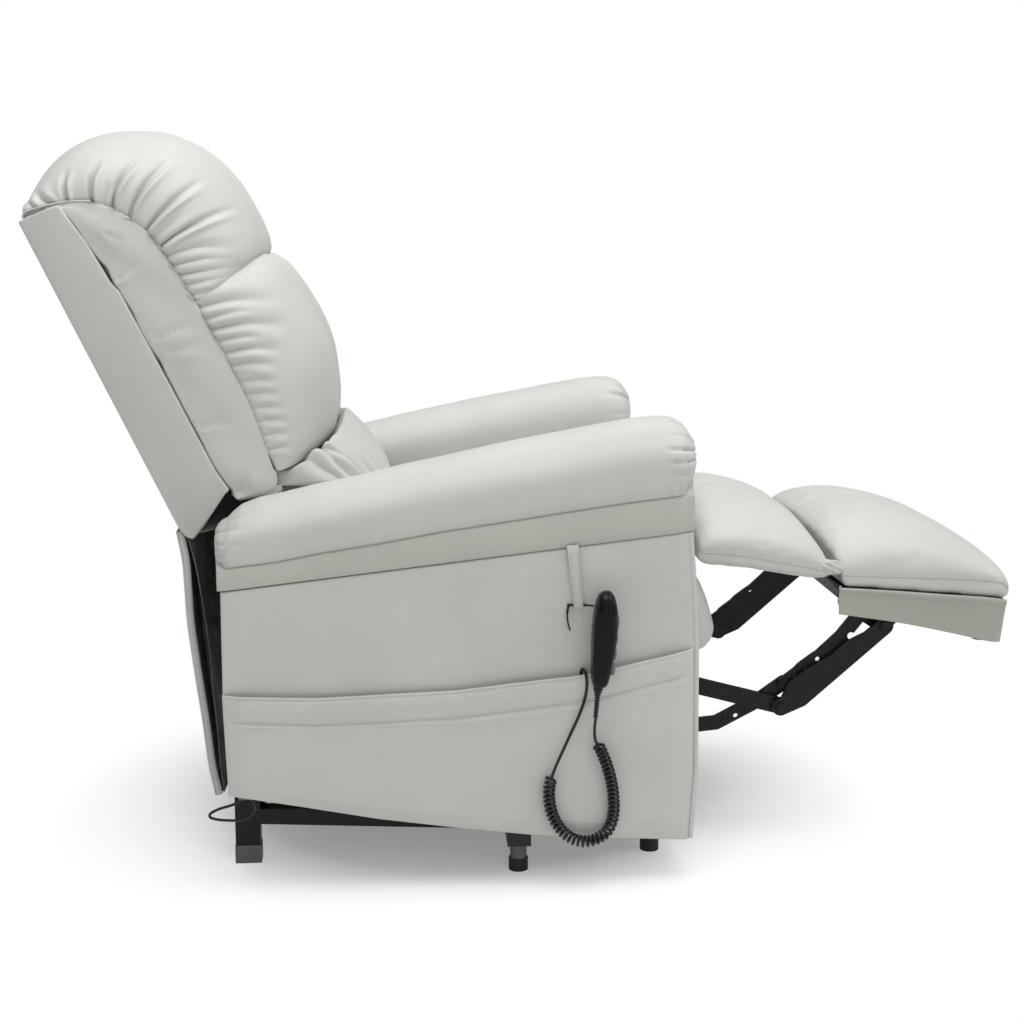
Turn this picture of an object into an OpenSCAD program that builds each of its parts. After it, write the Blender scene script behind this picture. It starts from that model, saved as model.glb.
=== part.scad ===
// Lift recliner chair, shown reclined with the footrest out and the lift down.
// X runs forward, Y to the sitter's left, Z up; the floor is Z = 0.

/* [Chair] */
// Width over the outer side panels
overall_w = 750; // [740:2:770]
// Clear width between the arms
seat_gap = 490; // [486:1:496]
// Thickness of the padded side panels
panel_t = 12; // [8:1:14]
// Width of the wide part of the back
back_w = 576; // [560:2:580]
// Half width of the head pillow at its seam
pillow_half = 272; // [262:1:276]
// Height of the middle of the seat cushion at its front
seat_crown = 523; // [515:1:530]

/* [Footrest] */
// Width of the footboard
board_w = 472; // [460:2:474]
// Thickness of the footboard
board_t = 18; // [12:1:20]
// Width of the flat link bars
link_w = 22; // [18:1:23]
// Thickness of the link bars
link_t = 5; // [4:0.5:5]
// Diameter of the link rivets
rivet_d = 8; // [6:0.5:9]

/* [Lift base] */
// Height of the floor rails
rail_h = 34; // [28:1:34]
// Width of the floor rails
rail_w = 25; // [20:1:25]
// Height of the rails' underside above the floor
rail_z = 42; // [38:1:44]
// Diameter of the rubber feet
foot_d = 28; // [24:1:30]
// Thickness of the lift arms
arm_t = 8; // [6:1:8]
// Diameter of the lift pivot pins
pivot_d = 16; // [12:1:18]

/* [Motors] */
// Diameter of the motors' outer tubes
tube_d = 42; // [36:1:44]
// Diameter of the push rods
rod_d = 18; // [16:1:18]
// Diameter of the motor cans
motor_d = 52; // [44:1:56]

/* [Handset] */
// Width of the handset
handset_w = 48; // [42:1:50]
// Travel of the buttons
button_travel = 1.2; // [0.8:0.1:1.4]
// Diameter of the lead inside its jacket
lead_d = 4.3; // [4:0.1:4.6]
// Outside diameter of the curls
curl_d = 17.6; // [17:0.1:18]
// Number of curls in the lead
curls = 46; // [40:1:46]

/* [Hidden] */
$fn = 48;

leather = "#c9c7c2";
lining = "#3a403c";
steel = "#1d1e20";
bare_steel = "#a9acb0";
wood = "#c8a878";
plastic = "#17181a";
cap_grey = "#77797c";
rubber = "#222222";
foam = "#b8b6b0";

// The handset stands out on the right, so the chair's middle plane lies left of the origin.
mid_y = 29;
half_w = overall_w / 2;
gap_half = seat_gap / 2;
back_half = back_w / 2;
clear = 0.05;

// Pivots of the lift, in the side plane.
lift_pivot = [130, 80];
chair_pivot = [-90, 120];
link_base = [80.6, 109.5];
link_top = [-290, 200];
back_pivot = [-300, 400];
front_tube = [110, 238];
rear_tube = [-240, 262];
lift_motor_pin = [-387, 92];
lift_rod_pin = [100.4, 143.4];
recline_rod_pin = [-320, 300];
foot_rod_pin = [170, 276];

// Pivots of the footrest scissor, in the side plane.
drive_pivot = [197.7, 252.8];
rear_link_pivot = [84.2, 217.8];
rear_link_end = [215, 178];
cross_pin = [331, 216];
long_pin = [362, 209];
short_pin = [369, 243];
board_front_pin = [515.8, 330.7];
board_rear_pin = [482.4, 350.5];

// Planes of the links, measured out from the middle plane.
plate_y = 206;
plate_t = 6;
cross_y = 219.5;
drive_y = 225;
long_y = 233.5;

// Side outlines of the arms, from the rear to the front.
seam_z0 = 428;
seam_x0 = -446;
seam_slope = 0.1144;
arm_hem = [[-440, 141], [-345, 124], [-235, 103], [-123, 87], [-11, 73], [100, 66], [207, 60]];
arm_front = [[215, 164], [212, 333], [199, 501]];

// Side outline of the back's box.
box_side = [
    [-708, 922], [-680, 935], [-654, 944], [-620, 896], [-590, 842], [-578, 829], [-531, 734],
    [-457, 583], [-438, 554], [-444, 549], [-461, 524], [-490, 485], [-500, 489], [-510, 502]
];

// Seam and crown of the head pillow, from its rear top down to the dividing seam.
pillow_seam = [
    [-704, 926], [-700, 934], [-676, 942], [-645, 948], [-613, 949], [-584, 940], [-562, 927],
    [-542, 911], [-523, 890], [-510, 869], [-498, 850], [-488, 832], [-478, 815]
];
pillow_crown = [
    [-706, 936], [-712, 962], [-692, 1003], [-656, 1036], [-612, 1052], [-566, 1055], [-525, 1050],
    [-486, 1031], [-450, 998], [-422, 956], [-403, 915], [-397, 885], [-407, 862]
];
pillow_back = [[-560, 787], [-590, 845], [-620, 899], [-653, 947], [-680, 938]];

// Seam and crown of the lumbar cushion, from the dividing seam down to the lower seam.
lumbar_seam = [
    [-477, 811], [-460, 780], [-444, 751], [-428, 718], [-413, 685], [-401, 655], [-391, 626],
    [-382, 600], [-374, 578]
];
lumbar_crown = [
    [-406, 857], [-388, 868], [-360, 852], [-334, 814], [-313, 775], [-298, 735], [-292, 690],
    [-291, 648], [-297, 612], [-318, 592]
];
lumbar_back = [[-464, 592], [-529, 734], [-558, 783]];

// Route of the handset's lead: straight drop, curled loop, straight rise into the pocket.
coil_start = [65, -404, 214];
lead_route = [[62.2, -409, 253.1], [61.4, -408.6, 245], [60.9, -407, 232], [62.34, -404.76, 219.33],
    coil_start - 0.1 * unit([7, 2, -14])];
coil_route = [
    [65, -404, 214], [72, -402, 200], [81, -400, 176], [88, -398, 146], [90, -397, 112],
    [83, -396, 86], [68, -396, 73], [50, -396, 69], [32, -396, 74], [16, -396, 88],
    [5, -396, 108], [0, -396, 130], [0, -396, 150], [4, -396, 166]
];
lead_end_route = [
    [4.03, -396, 166.08], [9, -396, 180], [18, -395, 200], [30, -393, 226], [42, -391, 252],
    [50, -389, 276], [52, -389, 294], [51, -389, 306], [49, -386, 313], [46, -381, 313],
    [45, -379, 306], [45, -379, 296]
];
rear_lead_route = [
    [-428, -330, 125], [-430, -330, 119], [-442, -330, 112], [-460, -331, 107], [-473, -332, 101],
    [-474, -332, 95], [-464, -331, 91], [-450, -330, 89], [-434, -330, 89], [-420, -330, 94],
    [-411, -330, 103], [-412, -330, 113], [-416, -330, 120], [-416, -330, 125]
];

function mix2(a, b, t) = a + (b - a) * t;
function dome(t, p, q) = pow(max(0, 1 - pow(abs(t), p)), 1 / q);
function seam_z(x) = seam_z0 + seam_slope * (x - seam_x0);
function sum2(v, i = 0) = i < len(v) ? v[i] + sum2(v, i + 1) : [0, 0, 0];
function centre(r) = sum2(r) / len(r);

// Moves a piece that is drawn about the middle plane to its place.
module placed() {
    translate([0, mid_y, 0])
        children();
}

module both_sides() {
    children();
    mirror([0, 1, 0])
        children();
}

// A flat piece whose outline lies in the side plane, from y0 to y1.
module slab(y0, y1) {
    translate([0, y1, 0])
        rotate([90, 0, 0])
            linear_extrude(y1 - y0)
                children();
}

module disc(p, d) {
    translate(p)
        circle(d = d);
}

// Outline of a flat bar with round ends that follows a path of points.
function turned(v) = [-v[1], v[0]];
function heading(p, i) = unit(p[i + 1] - p[i]);
function corner(p, i) =
    let (a = turned(heading(p, i - 1)), b = turned(heading(p, i)))
        (a + b) / (1 + a * b);
function round_end(c, dir, w) = [
    for (k = [0:12])
        let (t = atan2(dir[1], dir[0]) + 90 - 15 * k)
            c + w / 2 * [cos(t), sin(t)]
];
function bar_outline(p, w) =
    let (m = len(p) - 1)
        concat(
            [for (i = [1:1:m - 1]) p[i] + w / 2 * corner(p, i)],
            round_end(p[m], heading(p, m - 1), w),
            [for (i = [m - 1:-1:1]) p[i] - w / 2 * corner(p, i)],
            round_end(p[0], -heading(p, 0), w)
        );

module bar(path, w) {
    polygon(bar_outline(path, w));
}

// A round pin along Y in the side plane.
module pin(p, d, y0, y1) {
    translate([p[0], y0, p[1]])
        rotate([-90, 0, 0])
            cylinder(d = d, h = y1 - y0);
}

// Closed skin over rings of equal length, closed at both ends about their middles.
module loft(rings) {
    n = len(rings);
    k = len(rings[0]);
    points = concat([for (r = rings) each r], [centre(rings[0]), centre(rings[n - 1])]);
    side = [
        for (i = [0:n - 2])
            for (j = [0:k - 1])
                let (a = i * k + j, b = i * k + (j + 1) % k, c = a + k, d = b + k)
                    each [[a, b, d], [a, d, c]]
    ];
    first = [for (j = [0:k - 1]) [n * k, (j + 1) % k, j]];
    last = [for (j = [0:k - 1]) [n * k + 1, (n - 1) * k + j, (n - 1) * k + (j + 1) % k]];
    polyhedron(points, concat(side, first, last), convexity = 6);
}

// Vectors that carry a ring along a route without turning it.
function unit(v) = v / norm(v);
function tangent(r, i) = unit(r[min(i + 1, len(r) - 1)] - r[max(i - 1, 0)]);
function carry(n, t) = unit(n - (n * t) * t);
function normals(r, i = 0, n = [0, 1, 0.01]) =
    i >= len(r) ? [] : let (m = carry(n, tangent(r, i))) concat([m], normals(r, i + 1, m));

// Smooth curve through the points of a route.
function hermite(a, b, c, d, t) =
    0.5 * (2 * b + (c - a) * t + (2 * a - 5 * b + 4 * c - d) * t * t
        + (3 * b - a - 3 * c + d) * t * t * t);
function on_route(r, s) =
    let (m = len(r) - 1, i = min(floor(s * m), m - 1), t = s * m - i)
        hermite(r[max(i - 1, 0)], r[i], r[i + 1], r[min(i + 2, m)], t);
function on_line(r, s) =
    let (m = len(r) - 1, i = min(floor(s * m), m - 1), t = s * m - i)
        mix2(r[i], r[i + 1], t);
function finer(r, n) = [for (i = [0:n]) on_route(r, i / n)];

module tube_along(r, d, sides) {
    ns = normals(r);
    loft([
        for (i = [0:len(r) - 1])
            let (t = tangent(r, i), n = ns[i], b = cross(t, n))
                [for (j = [0:sides - 1])
                    r[i] + d / 2 * (cos(360 * j / sides) * n + sin(360 * j / sides) * b)]
    ]);
}

// ---------------------------------------------------------------- floor frame

module base_side_rails() {
    color(steel)
        placed()
            both_sides()
                slab(268 - rail_w, 268)
                    polygon([
                        [-410, rail_z + 17], [-410, rail_z + rail_h + 6], [-60, rail_z + rail_h],
                        [182, rail_z + rail_h], [182, rail_z], [-60, rail_z]
                    ]);
}

module base_cross_tubes() {
    color(steel)
        placed() {
            translate([-440, rail_w - 268, 70])
                cube([35, 2 * (268 - rail_w), 34]);
            translate([-56, rail_w - 268, rail_z])
                cube([38, 2 * (268 - rail_w), 28]);
            translate([147, rail_w - 268, rail_z])
                cube([35, 2 * (268 - rail_w), 25]);
            both_sides()
                translate([-54, 268, rail_z])
                    cube([34, 64, 28]);
        }
}

module base_rear_legs() {
    color(steel)
        placed()
            both_sides()
                translate([-446, 268 - rail_w, 27])
                    cube([36, rail_w, 85]);
}

module base_end_caps() {
    color(cap_grey)
        placed()
            both_sides() {
                translate([-447, 267 - rail_w, 0])
                    cube([38, rail_w + 2, 27]);
                translate([-54, 332, rail_z - 2])
                    cube([34, 3, 32]);
                translate([-37, 317, 18])
                    cylinder(d = 24, h = rail_z - 18);
            }
}

module base_feet() {
    color(rubber)
        placed()
            both_sides() {
                translate([-37, 317, 0])
                    cylinder(d = foot_d, h = 18);
                translate([164, 255, 0])
                    cylinder(d = foot_d, h = rail_z);
            }
}

module base_brackets() {
    color(steel)
        placed() {
            both_sides() {
                slab(plate_y, plate_y + plate_t)
                    difference() {
                        union() {
                            disc(lift_pivot, 32);
                            polygon([[116, 73], [147, 44], [147, 66], [143, 89]]);
                        }
                        disc(lift_pivot, pivot_d + 2 * clear);
                    }
                slab(176, 182)
                    difference() {
                        union() {
                            disc(link_base, 30);
                            polygon([[-18, 44], [-18, 70], [68, 119], [92, 104], [86, 94], [8, 44]]);
                        }
                        disc(link_base, 12 + 2 * clear);
                    }
            }
            for (y = [-29, 23])
                slab(y, y + 6)
                    difference() {
                        union() {
                            disc(lift_motor_pin, 24);
                            polygon([[-405, 71], [-405, 103], [-386, 104], [-380, 82]]);
                        }
                        disc(lift_motor_pin, 12 + 2 * clear);
                    }
        }
}

// ----------------------------------------------------------------------- lift

module lift_arms() {
    color(steel)
        placed() {
            both_sides() {
                slab(195, 195 + arm_t)
                    difference() {
                        bar([lift_pivot, chair_pivot], 36);
                        disc(chair_pivot, pivot_d + 2 * clear);
                    }
                pin(lift_pivot, pivot_d, 193 + arm_t, 214);
                pin(lift_pivot, 22, 212.6, 215);
            }
            pin(lift_pivot, 26, -195, 195);
            for (y = [-21, 14])
                slab(y, y + 7)
                    difference() {
                        bar([lift_pivot, lift_rod_pin], 24);
                        disc(lift_rod_pin, 12);
                    }
        }
}

module lift_rear_links() {
    color(steel)
        placed()
            both_sides() {
                slab(184, 184 + arm_t)
                    difference() {
                        bar([link_base, link_top], 26);
                        disc(link_top, 14);
                    }
                pin(link_base, 12, 174, 186);
                pin(link_base, 20, 172.5, 175.5);
            }
}

// Tube, gearbox and motor can of a push rod motor that points along +X from its pin.
module motor_body(len, up) {
    difference() {
        union() {
            rotate([0, 90, 0])
                translate([0, 0, 34])
                    cylinder(d = tube_d, h = len - 34);
            translate([14, -23, -23])
                cube([56, 46, 46]);
            translate([42, 0, up > 0 ? 20 : -86])
                cylinder(d = motor_d, h = 66);
            rotate([90, 0, 0])
                translate([0, 0, -11])
                    cylinder(d = 30, h = 22);
            translate([0, -11, -15])
                cube([16, 22, 30]);
        }
        rotate([0, 90, 0])
            translate([0, 0, 90])
                cylinder(d = rod_d + 2 * clear, h = len);
    }
}

module push_rod(start, len, eye) {
    rotate([0, 90, 0])
        translate([0, 0, start])
            cylinder(d = rod_d, h = len - start - eye / 2 + 2);
    rotate([90, 0, 0])
        translate([len, 0, -10])
            difference() {
                cylinder(d = eye, h = 20);
                translate([0, 0, -1])
                    cylinder(d = 12.4, h = 22);
            }
}

function pitch(a, b) = -atan2(b[1] - a[1], b[0] - a[0]);

module along(a, b, y) {
    translate([a[0], y, a[1]])
        rotate([0, pitch(a, b), 0])
            children();
}

module lift_motor() {
    color(plastic)
        placed() {
            difference() {
                along(lift_motor_pin, lift_rod_pin, 0)
                    motor_body(360, 1);
                pin(lift_motor_pin, 12 + 2 * clear, -14, 14);
            }
            pin(lift_motor_pin, 12, -32, 32);
        }
}

module lift_rod() {
    color(bare_steel)
        placed()
            along(lift_motor_pin, lift_rod_pin, 0)
                push_rod(180, norm(lift_rod_pin - lift_motor_pin), 24);
}

// ---------------------------------------------------------------- seat frame

module seat_side_plates() {
    color(steel)
        placed()
            both_sides()
                slab(plate_y, plate_y + plate_t)
                    difference() {
                        union() {
                            polygon([
                                [-322, 400], [-322, 196], [-290, 178], [-110, 99], [-68, 99], [60, 190],
                                [196, 226], [220, 252], [206, 316], [-262, 330], [-278, 400]
                            ]);
                            disc(back_pivot, 44);
                            disc(link_top, 40);
                            disc(chair_pivot, 46);
                            disc(drive_pivot, 44);
                        }
                        disc(back_pivot, pivot_d + 2 * clear);
                        disc(drive_pivot, 22 + 2 * clear);
                        disc(rear_link_pivot, 12 + 2 * clear);
                        disc(front_tube, 25);
                        disc(rear_tube, 25);
                    }
    color(steel)
        placed()
            both_sides() {
                pin(chair_pivot, pivot_d, 192.2, 208);
                pin(link_top, 13, 182, 208);
                pin(link_top, 20, 181, 183.8);
            }
}

module seat_cross_tubes() {
    color(steel)
        placed() {
            pin(front_tube, 25, -212, 212);
            pin(rear_tube, 25, -212, 212);
        }
}

module seat_box() {
    color(wood)
        placed() {
            translate([190, -205, 320])
                cube([24, 410, 80]);
            translate([-277, -205, 334])
                cube([22, 410, 66]);
            both_sides() {
                translate([-250, 213, 334])
                    cube([464, 22, 66]);
                translate([-250, 235, 334])
                    cube([440, 9.8, 34]);
            }
        }
}

// Zigzag wire springs across the seat box.
function zigzag(n, w) = [
    for (i = [0:n])
        [-255 + i * 445 / n, (i == 0 || i == n) ? 0 : (i % 2 == 0 ? w : -w)]
];

module seat_springs() {
    color(bare_steel)
        placed()
            for (y = [-144, -72, 0, 72, 144])
                translate([0, y, 386])
                    linear_extrude(3.4) {
                        z = zigzag(30, 22);
                        polygon(concat(
                            [for (p = z) p + [0, 2.4]],
                            [for (i = [len(z) - 1:-1:0]) z[i] - [0, 2.4]]
                        ));
                    }
}

seat_half = gap_half - 7;
function seat_ring(y) =
    let (f = dome(y / seat_half, 3.2, 2.2))
        [
            for (p = [
                [-268, 402], [210, 402], [226, 414], [mix2(226, 229, f), mix2(440, 455, f)],
                [mix2(222, 228, f), mix2(462, 492, f)], [mix2(206, 214, f), mix2(474, 514, f)],
                [mix2(170, 176, f), mix2(480, seat_crown, f)], [60, mix2(470, seat_crown - 8, f)],
                [-80, mix2(458, seat_crown - 22, f)], [-200, mix2(448, seat_crown - 36, f)],
                [-262, mix2(442, seat_crown - 45, f)], [mix2(-284, -290, f), mix2(432, 462, f)],
                [-286, 420]
            ])
                [p[0], y, p[1]]
        ];

module seat_cushion() {
    color(leather)
        placed()
            loft([for (i = [-8:8]) seat_ring(seat_half * sin(11.25 * i))]);
}

// ---------------------------------------------------------------------- arms

arm_outline = concat([[-446, 428], [-447, 288], [-443, 149]], arm_hem, arm_front);

module arm_frames() {
    color(wood)
        placed()
            both_sides() {
                slab(half_w - panel_t - 15, half_w - panel_t - 0.01)
                    polygon([
                        [-432, 428], [-433, 288], [-429, 152], [-345, 136], [-235, 115], [-123, 99],
                        [-11, 85], [100, 78], [192, 74], [198, 164], [196, 333], [184, 498]
                    ]);
                translate([-440 + 8, 290, 125])
                    cube([22, half_w - panel_t - 15 - 290, 300]);
                translate([150, 290, 90])
                    cube([30, half_w - panel_t - 15 - 290, 400]);
            }
}

module arm_side() {
    slab(half_w - panel_t, half_w)
        polygon(arm_outline);
}

module arm_side_right() {
    color(leather)
        placed()
            mirror([0, 1, 0])
                arm_side();
}

module arm_side_left() {
    color(leather)
        placed()
            arm_side();
}

module arm_inner_panels() {
    color(leather)
        placed()
            both_sides()
                slab(gap_half, gap_half + 12)
                    polygon([[-437, 429], [-437, 300], [199, 300], [199, 333], [187, 500]]);
}

module arm_end_panels() {
    color(leather)
        placed()
            both_sides() {
                slab(gap_half + 12, half_w - panel_t)
                    polygon([
                        [187, 500], [199, 501], [212, 333], [215, 164], [207, 60], [195, 62], [203, 164],
                        [200, 333]
                    ]);
                slab(gap_half + 12, half_w - panel_t)
                    polygon([
                        [-446, 428], [-434, 429], [-435, 288], [-433, 148], [-443, 149], [-447, 288]
                    ]);
                slab(gap_half, gap_half + 12)
                    polygon([[187, 500], [199, 501], [212, 333], [214.5, 250], [199, 250], [199, 333]]);
            }
}

// Cross section of the arm's roll: a flat foot on the side panels under a full top.
arm_foot = 0.6;
function arm_ring(x, top, fill, lift = 0) =
    let (
        z0 = seam_z(x) + arm_foot + lift,
        zs = z0 + 37,
        yo = half_w + 1,
        yi = gap_half + 1,
        mid = 312,
        h = max(top - zs, 4)
    )
        [
            for (p = concat(
                [[yi + 2, z0], [yo - 2, z0], [yo + 2 * fill, mix2(z0, zs, 0.55)], [yo - 1, zs]],
                [for (a = [8, 26, 45, 64, 82])
                    [mid + (yo + 1 - mid) * pow(cos(a), 0.8), zs + h * pow(sin(a), 0.75)]],
                [for (a = [98, 116, 135, 154, 172])
                    [mid - (mid - yi + 3 * fill) * pow(-cos(a), 0.8), zs + h * pow(sin(a), 0.75)]],
                [[yi, zs - 4]]
            ))
                [x, p[0], p[1]]
        ];

// Draws the ring in towards its middle, for the rounded ends of the roll.
function shrink(r, f, dx) =
    let (c = centre(r))
        [for (p = r) [p[0] + dx, mix2(c[1], p[1], f), mix2(c[2], p[2], f)]];

arm_tops = [
    [-440, 528], [-425, 541], [-395, 548.5], [-330, 562], [-250, 578.5], [-160, 597], [-70, 616],
    [15, 633.5], [70, 645], [119, 653.5], [150, 655.5], [172, 655], [190, 649], [203, 638]
];

module arm_pad() {
    rings = [for (q = arm_tops) arm_ring(q[0], q[1], 1)];
    ends = [
        shrink(arm_ring(-452, 512, 0.5), 0.9, -2),
        shrink(arm_ring(-450, 519, 0.7), 0.97, 0)
    ];
    front = [
        shrink(arm_ring(210, 622, 0.8), 0.97, 1),
        shrink(arm_ring(214, 610, 0.6), 0.88, 3)
    ];
    loft(concat(ends, rings, front));
}

module arm_pad_right() {
    color(leather)
        placed()
            mirror([0, 1, 0])
                arm_pad();
}

module arm_pad_left() {
    color(leather)
        placed()
            arm_pad();
}

pocket_top = [[-440, 284], [-317, 281], [-123, 288], [-40, 297], [42, 305], [85, 313], [193, 336]];
pocket_edge = [
    [205, 300], [209, 164], [203, 72], [100, 78], [-11, 85], [-123, 99], [-235, 115], [-345, 136],
    [-436, 152]
];

module side_pocket() {
    color(leather)
        placed()
            mirror([0, 1, 0]) {
                slab(half_w + 8, half_w + 11)
                    polygon(concat(pocket_top, pocket_edge));
                slab(half_w, half_w + 8)
                    polygon(concat([[193, 335]], pocket_edge, [
                        [-440, 283], [-422, 283], [-420, 170], [-345, 156], [-235, 135], [-123, 119],
                        [-11, 105], [100, 98], [184, 94], [189, 164], [185, 300], [178, 331]
                    ]));
            }
}

module handset_strap() {
    color(leather)
        placed()
            translate([32, -half_w - 8.2, 397])
                rotate([0, -5, 0])
                    difference() {
                        cube([14, 8.2, 88]);
                        translate([-1, 2.2, 4])
                            cube([16, 3.6, 78]);
                    }
}

module front_apron() {
    color(leather)
        placed()
            slab(-238, 238)
                polygon([
                    [214.2, 400], [228, 402], [238, 404], [252, 377], [265, 337], [267, 320], [258, 301],
                    [239, 296], [222, 298], [214.2, 304]
                ]);
}

module rear_lead() {
    color(plastic)
        placed()
            tube_along(finer(rear_lead_route, 22), 4, 8);
}

// ------------------------------------------------------------------- handset

// Carries the handset from upright at the origin to its place on the strap.
module handset_place() {
    translate([71, -409, 354])
        rotate([0, 4.6, 0])
            children();
}

module handset_profile(x0, x1) {
    intersection() {
        translate([0, handset_w / 2, 0])
            rotate([90, 0, 0])
                linear_extrude(handset_w)
                    intersection() {
                        polygon([
                            [-8, -75], [8, -75], [13, -50], [15, -20], [17.5, 0], [17.5, 30], [15, 52], [8, 74],
                            [4, 76], [-4, 76], [-10, 72], [-15, 52], [-16.5, 30], [-15.5, 0], [-13, -40]
                        ]);
                        translate([x0, -90])
                            square([x1 - x0, 180]);
                    }
        rotate([90, 0, 90])
            translate([0, 0, -30])
                linear_extrude(60)
                    union() {
                        polygon([
                            [-handset_w / 2, 50], [-handset_w / 2 + 3, -40], [-14, -66], [14, -66],
                            [handset_w / 2 - 3, -40], [handset_w / 2, 50], [10, 76], [-10, 76]
                        ]);
                        disc([0, -61], 29);
                    }
    }
}

button_rows = [34, 12, -10, -32];
button_d = 13;

module handset_front() {
    color(plastic)
        placed()
            handset_place()
                difference() {
                    handset_profile(0, 30);
                    for (z = button_rows)
                        translate([6, 0, z])
                            rotate([0, 90, 0])
                                cylinder(d = button_d + 0.6, h = 30);
                }
}

module handset_back() {
    color(plastic)
        placed()
            handset_place()
                handset_profile(-30, 0);
}

module button(z) {
    color(cap_grey)
        placed()
            handset_place()
                translate([6 + button_travel + 0.2, 0, z])
                    rotate([0, 90, 0])
                        cylinder(d = button_d, h = 11.6);
}

module button_raise() {
    button(button_rows[0]);
}

module button_lower() {
    button(button_rows[1]);
}

module button_recline() {
    button(button_rows[2]);
}

module button_return() {
    button(button_rows[3]);
}

module rod_between(a, b, d) {
    run = b - a;
    translate(a)
        rotate([0, acos(run[2] / norm(run)), atan2(run[1], run[0])])
            cylinder(d = d, h = norm(run), $fn = 24);
}

hook_route = [[57.6, -402, 408], [48, -379.2, 404], [27, -379.2, 404], [25, -379.2, 392]];

module handset_hook() {
    color(bare_steel)
        placed() {
            for (i = [0:2])
                rod_between(hook_route[i], hook_route[i + 1], 3);
            for (i = [1, 2])
                translate(hook_route[i])
                    sphere(d = 4.4, $fn = 24);
        }
}

module handset_relief() {
    color(plastic)
        placed()
            handset_place()
                translate([-1, 0, -101]) {
                    cylinder(d1 = 7.4, d2 = 11, h = 26);
                }
}

module handset_lead() {
    color(plastic)
        placed()
            tube_along(finer(lead_route, 14), lead_d, 8);
}

// Curly part of the lead: one tube wound about its route, straight for one diameter at both ends.
rings_per_curl = 8;
coil_n = curls * rings_per_curl;
coil_line = finer(coil_route, 400);
coil_normals = normals(coil_line);
function coil_step(i) = i <= 400 ? norm(coil_line[i] - coil_line[i - 1]) : 0;
coil_runs = [
    for (i = 0, run = 0; i <= 400; i = i + 1, run = run + coil_step(i))
        [run, i / 400]
];
coil_length = coil_runs[400][0];
curl_r = (curl_d - lead_d) / 2;
function coil_at(u) =
    let (
        s = lookup(u * coil_length, coil_runs),
        i = min(400, max(0, round(s * 400))),
        n = coil_normals[i],
        b = cross(tangent(coil_line, i), n),
        grow = min(1, min(u, 1 - u) * curls * 1.4),
        a = 360 * curls * u
    )
        on_route(coil_route, s) + curl_r * grow * (cos(a) * n + sin(a) * b);
coil_path = concat(
    [coil_start, coil_start + unit([7, 2, -14]) * lead_d],
    [for (i = [4:coil_n - 4]) coil_at(i / coil_n)],
    [coil_route[13] - unit([5, 0, 14]) * lead_d, coil_route[13]]
);
coil_gap = min([
    for (i = [2:len(coil_path) - 12])
        for (k = [6:10])
            norm(coil_path[i] - coil_path[i + k])
]) - lead_d;
echo(coil_gap = coil_gap, coil_length = coil_length, coil_rings = len(coil_path));

module handset_coil() {
    color(plastic)
        placed()
            tube_along(coil_path, lead_d, 6);
}

module handset_lead_end() {
    color(plastic)
        placed()
            tube_along(finer(lead_end_route, 30), lead_d, 8);
}

// ---------------------------------------------------------------------- back

module back_frame() {
    color(wood)
        placed() {
            both_sides()
                slab(219.6, 244)
                    polygon([[-680, 916], [-646, 928], [-560, 770], [-478, 606], [-480, 550], [-500, 530], [-511, 560]]);
            for (q = [[-655, 896], [-586, 750], [-522, 618]])
                translate([q[0] - 12, -220, q[1] - 24])
                    cube([22, 440, 48]);
        }
}

module back_brackets() {
    color(steel)
        placed() {
            both_sides() {
                slab(213.5, 213.5 + 6)
                    union() {
                        bar([back_pivot, [-400, 465], [-492, 566]], 34);
                        polygon([[-284, 393], [-344, 368], [-359, 384], [-352, 399], [-330, 424], [-300, 417]]);
                        disc(back_pivot, 44);
                    }
                pin(back_pivot, pivot_d, 204.6, 216);
                pin(back_pivot, 24, 203.4, 205.6);
            }
            pin([-344, 384], 25, -215, 215);
            for (y = [-87, -59])
                slab(y, y + 6)
                    difference() {
                        bar([[-344, 384], recline_rod_pin], 24);
                        disc(recline_rod_pin, 12);
                    }
        }
}

module back_shell() {
    color(leather)
        placed() {
            both_sides()
                slab(back_half - 16, back_half)
                    polygon(box_side);
            slab(-back_half + 16.01, back_half - 16.01)
                polygon([[-708, 922], [-697, 926], [-501, 512], [-494, 496], [-490, 485], [-500, 489], [-510, 502]]);
            slab(-back_half + 16.01, back_half - 16.01)
                polygon([[-696.6, 926.5], [-680, 935], [-654, 944], [-650, 938], [-678, 928], [-691, 922]]);
        }
}

// Folds run in from the seam, deepest near it.
function fold(i, n, t) = 0.16 * pow(abs(t), 5) * (1 + cos(360 * n * i)) / 2;

function pillow_ring(y) =
    let (t = y / pillow_half, f = dome(t, 2.6, 2.0), n = len(pillow_seam) - 1)
        [
            for (p = concat(
                [
                    for (i = [0:2 * n])
                        let (
                            s = i / (2 * n),
                            a = on_line(pillow_seam, s),
                            b = on_line(pillow_crown, s),
                            dip = 1 - 0.045 * exp(-pow(y / 34, 2)),
                            g = f * dip * (1 - fold(s, 7, t) / max(0.3, f))
                        )
                            mix2(a, b, max(0, g))
                ],
                pillow_back
            ))
                [p[0], y, p[1]]
        ];

module head_pillow() {
    color(leather)
        placed()
            loft([for (i = [-8:8]) pillow_ring(pillow_half * sin(11.25 * i))]);
}

function lumbar_ring(y) =
    let (t = y / pillow_half, f = dome(t, 2.6, 2.0), n = 16)
        [
            for (p = concat(
                [
                    for (i = [0:n])
                        let (
                            s = i / n,
                            a = on_line(lumbar_seam, s),
                            b = on_line(lumbar_crown, s),
                            dip = 1 - 0.03 * exp(-pow(y / 34, 2))
                        )
                            mix2(a, b, f * dip)
                ],
                lumbar_back
            ))
                [p[0], y, p[1]]
        ];

module lumbar_cushion() {
    color(leather)
        placed()
            loft([for (i = [-8:8]) lumbar_ring(pillow_half * sin(11.25 * i))]);
}

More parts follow.
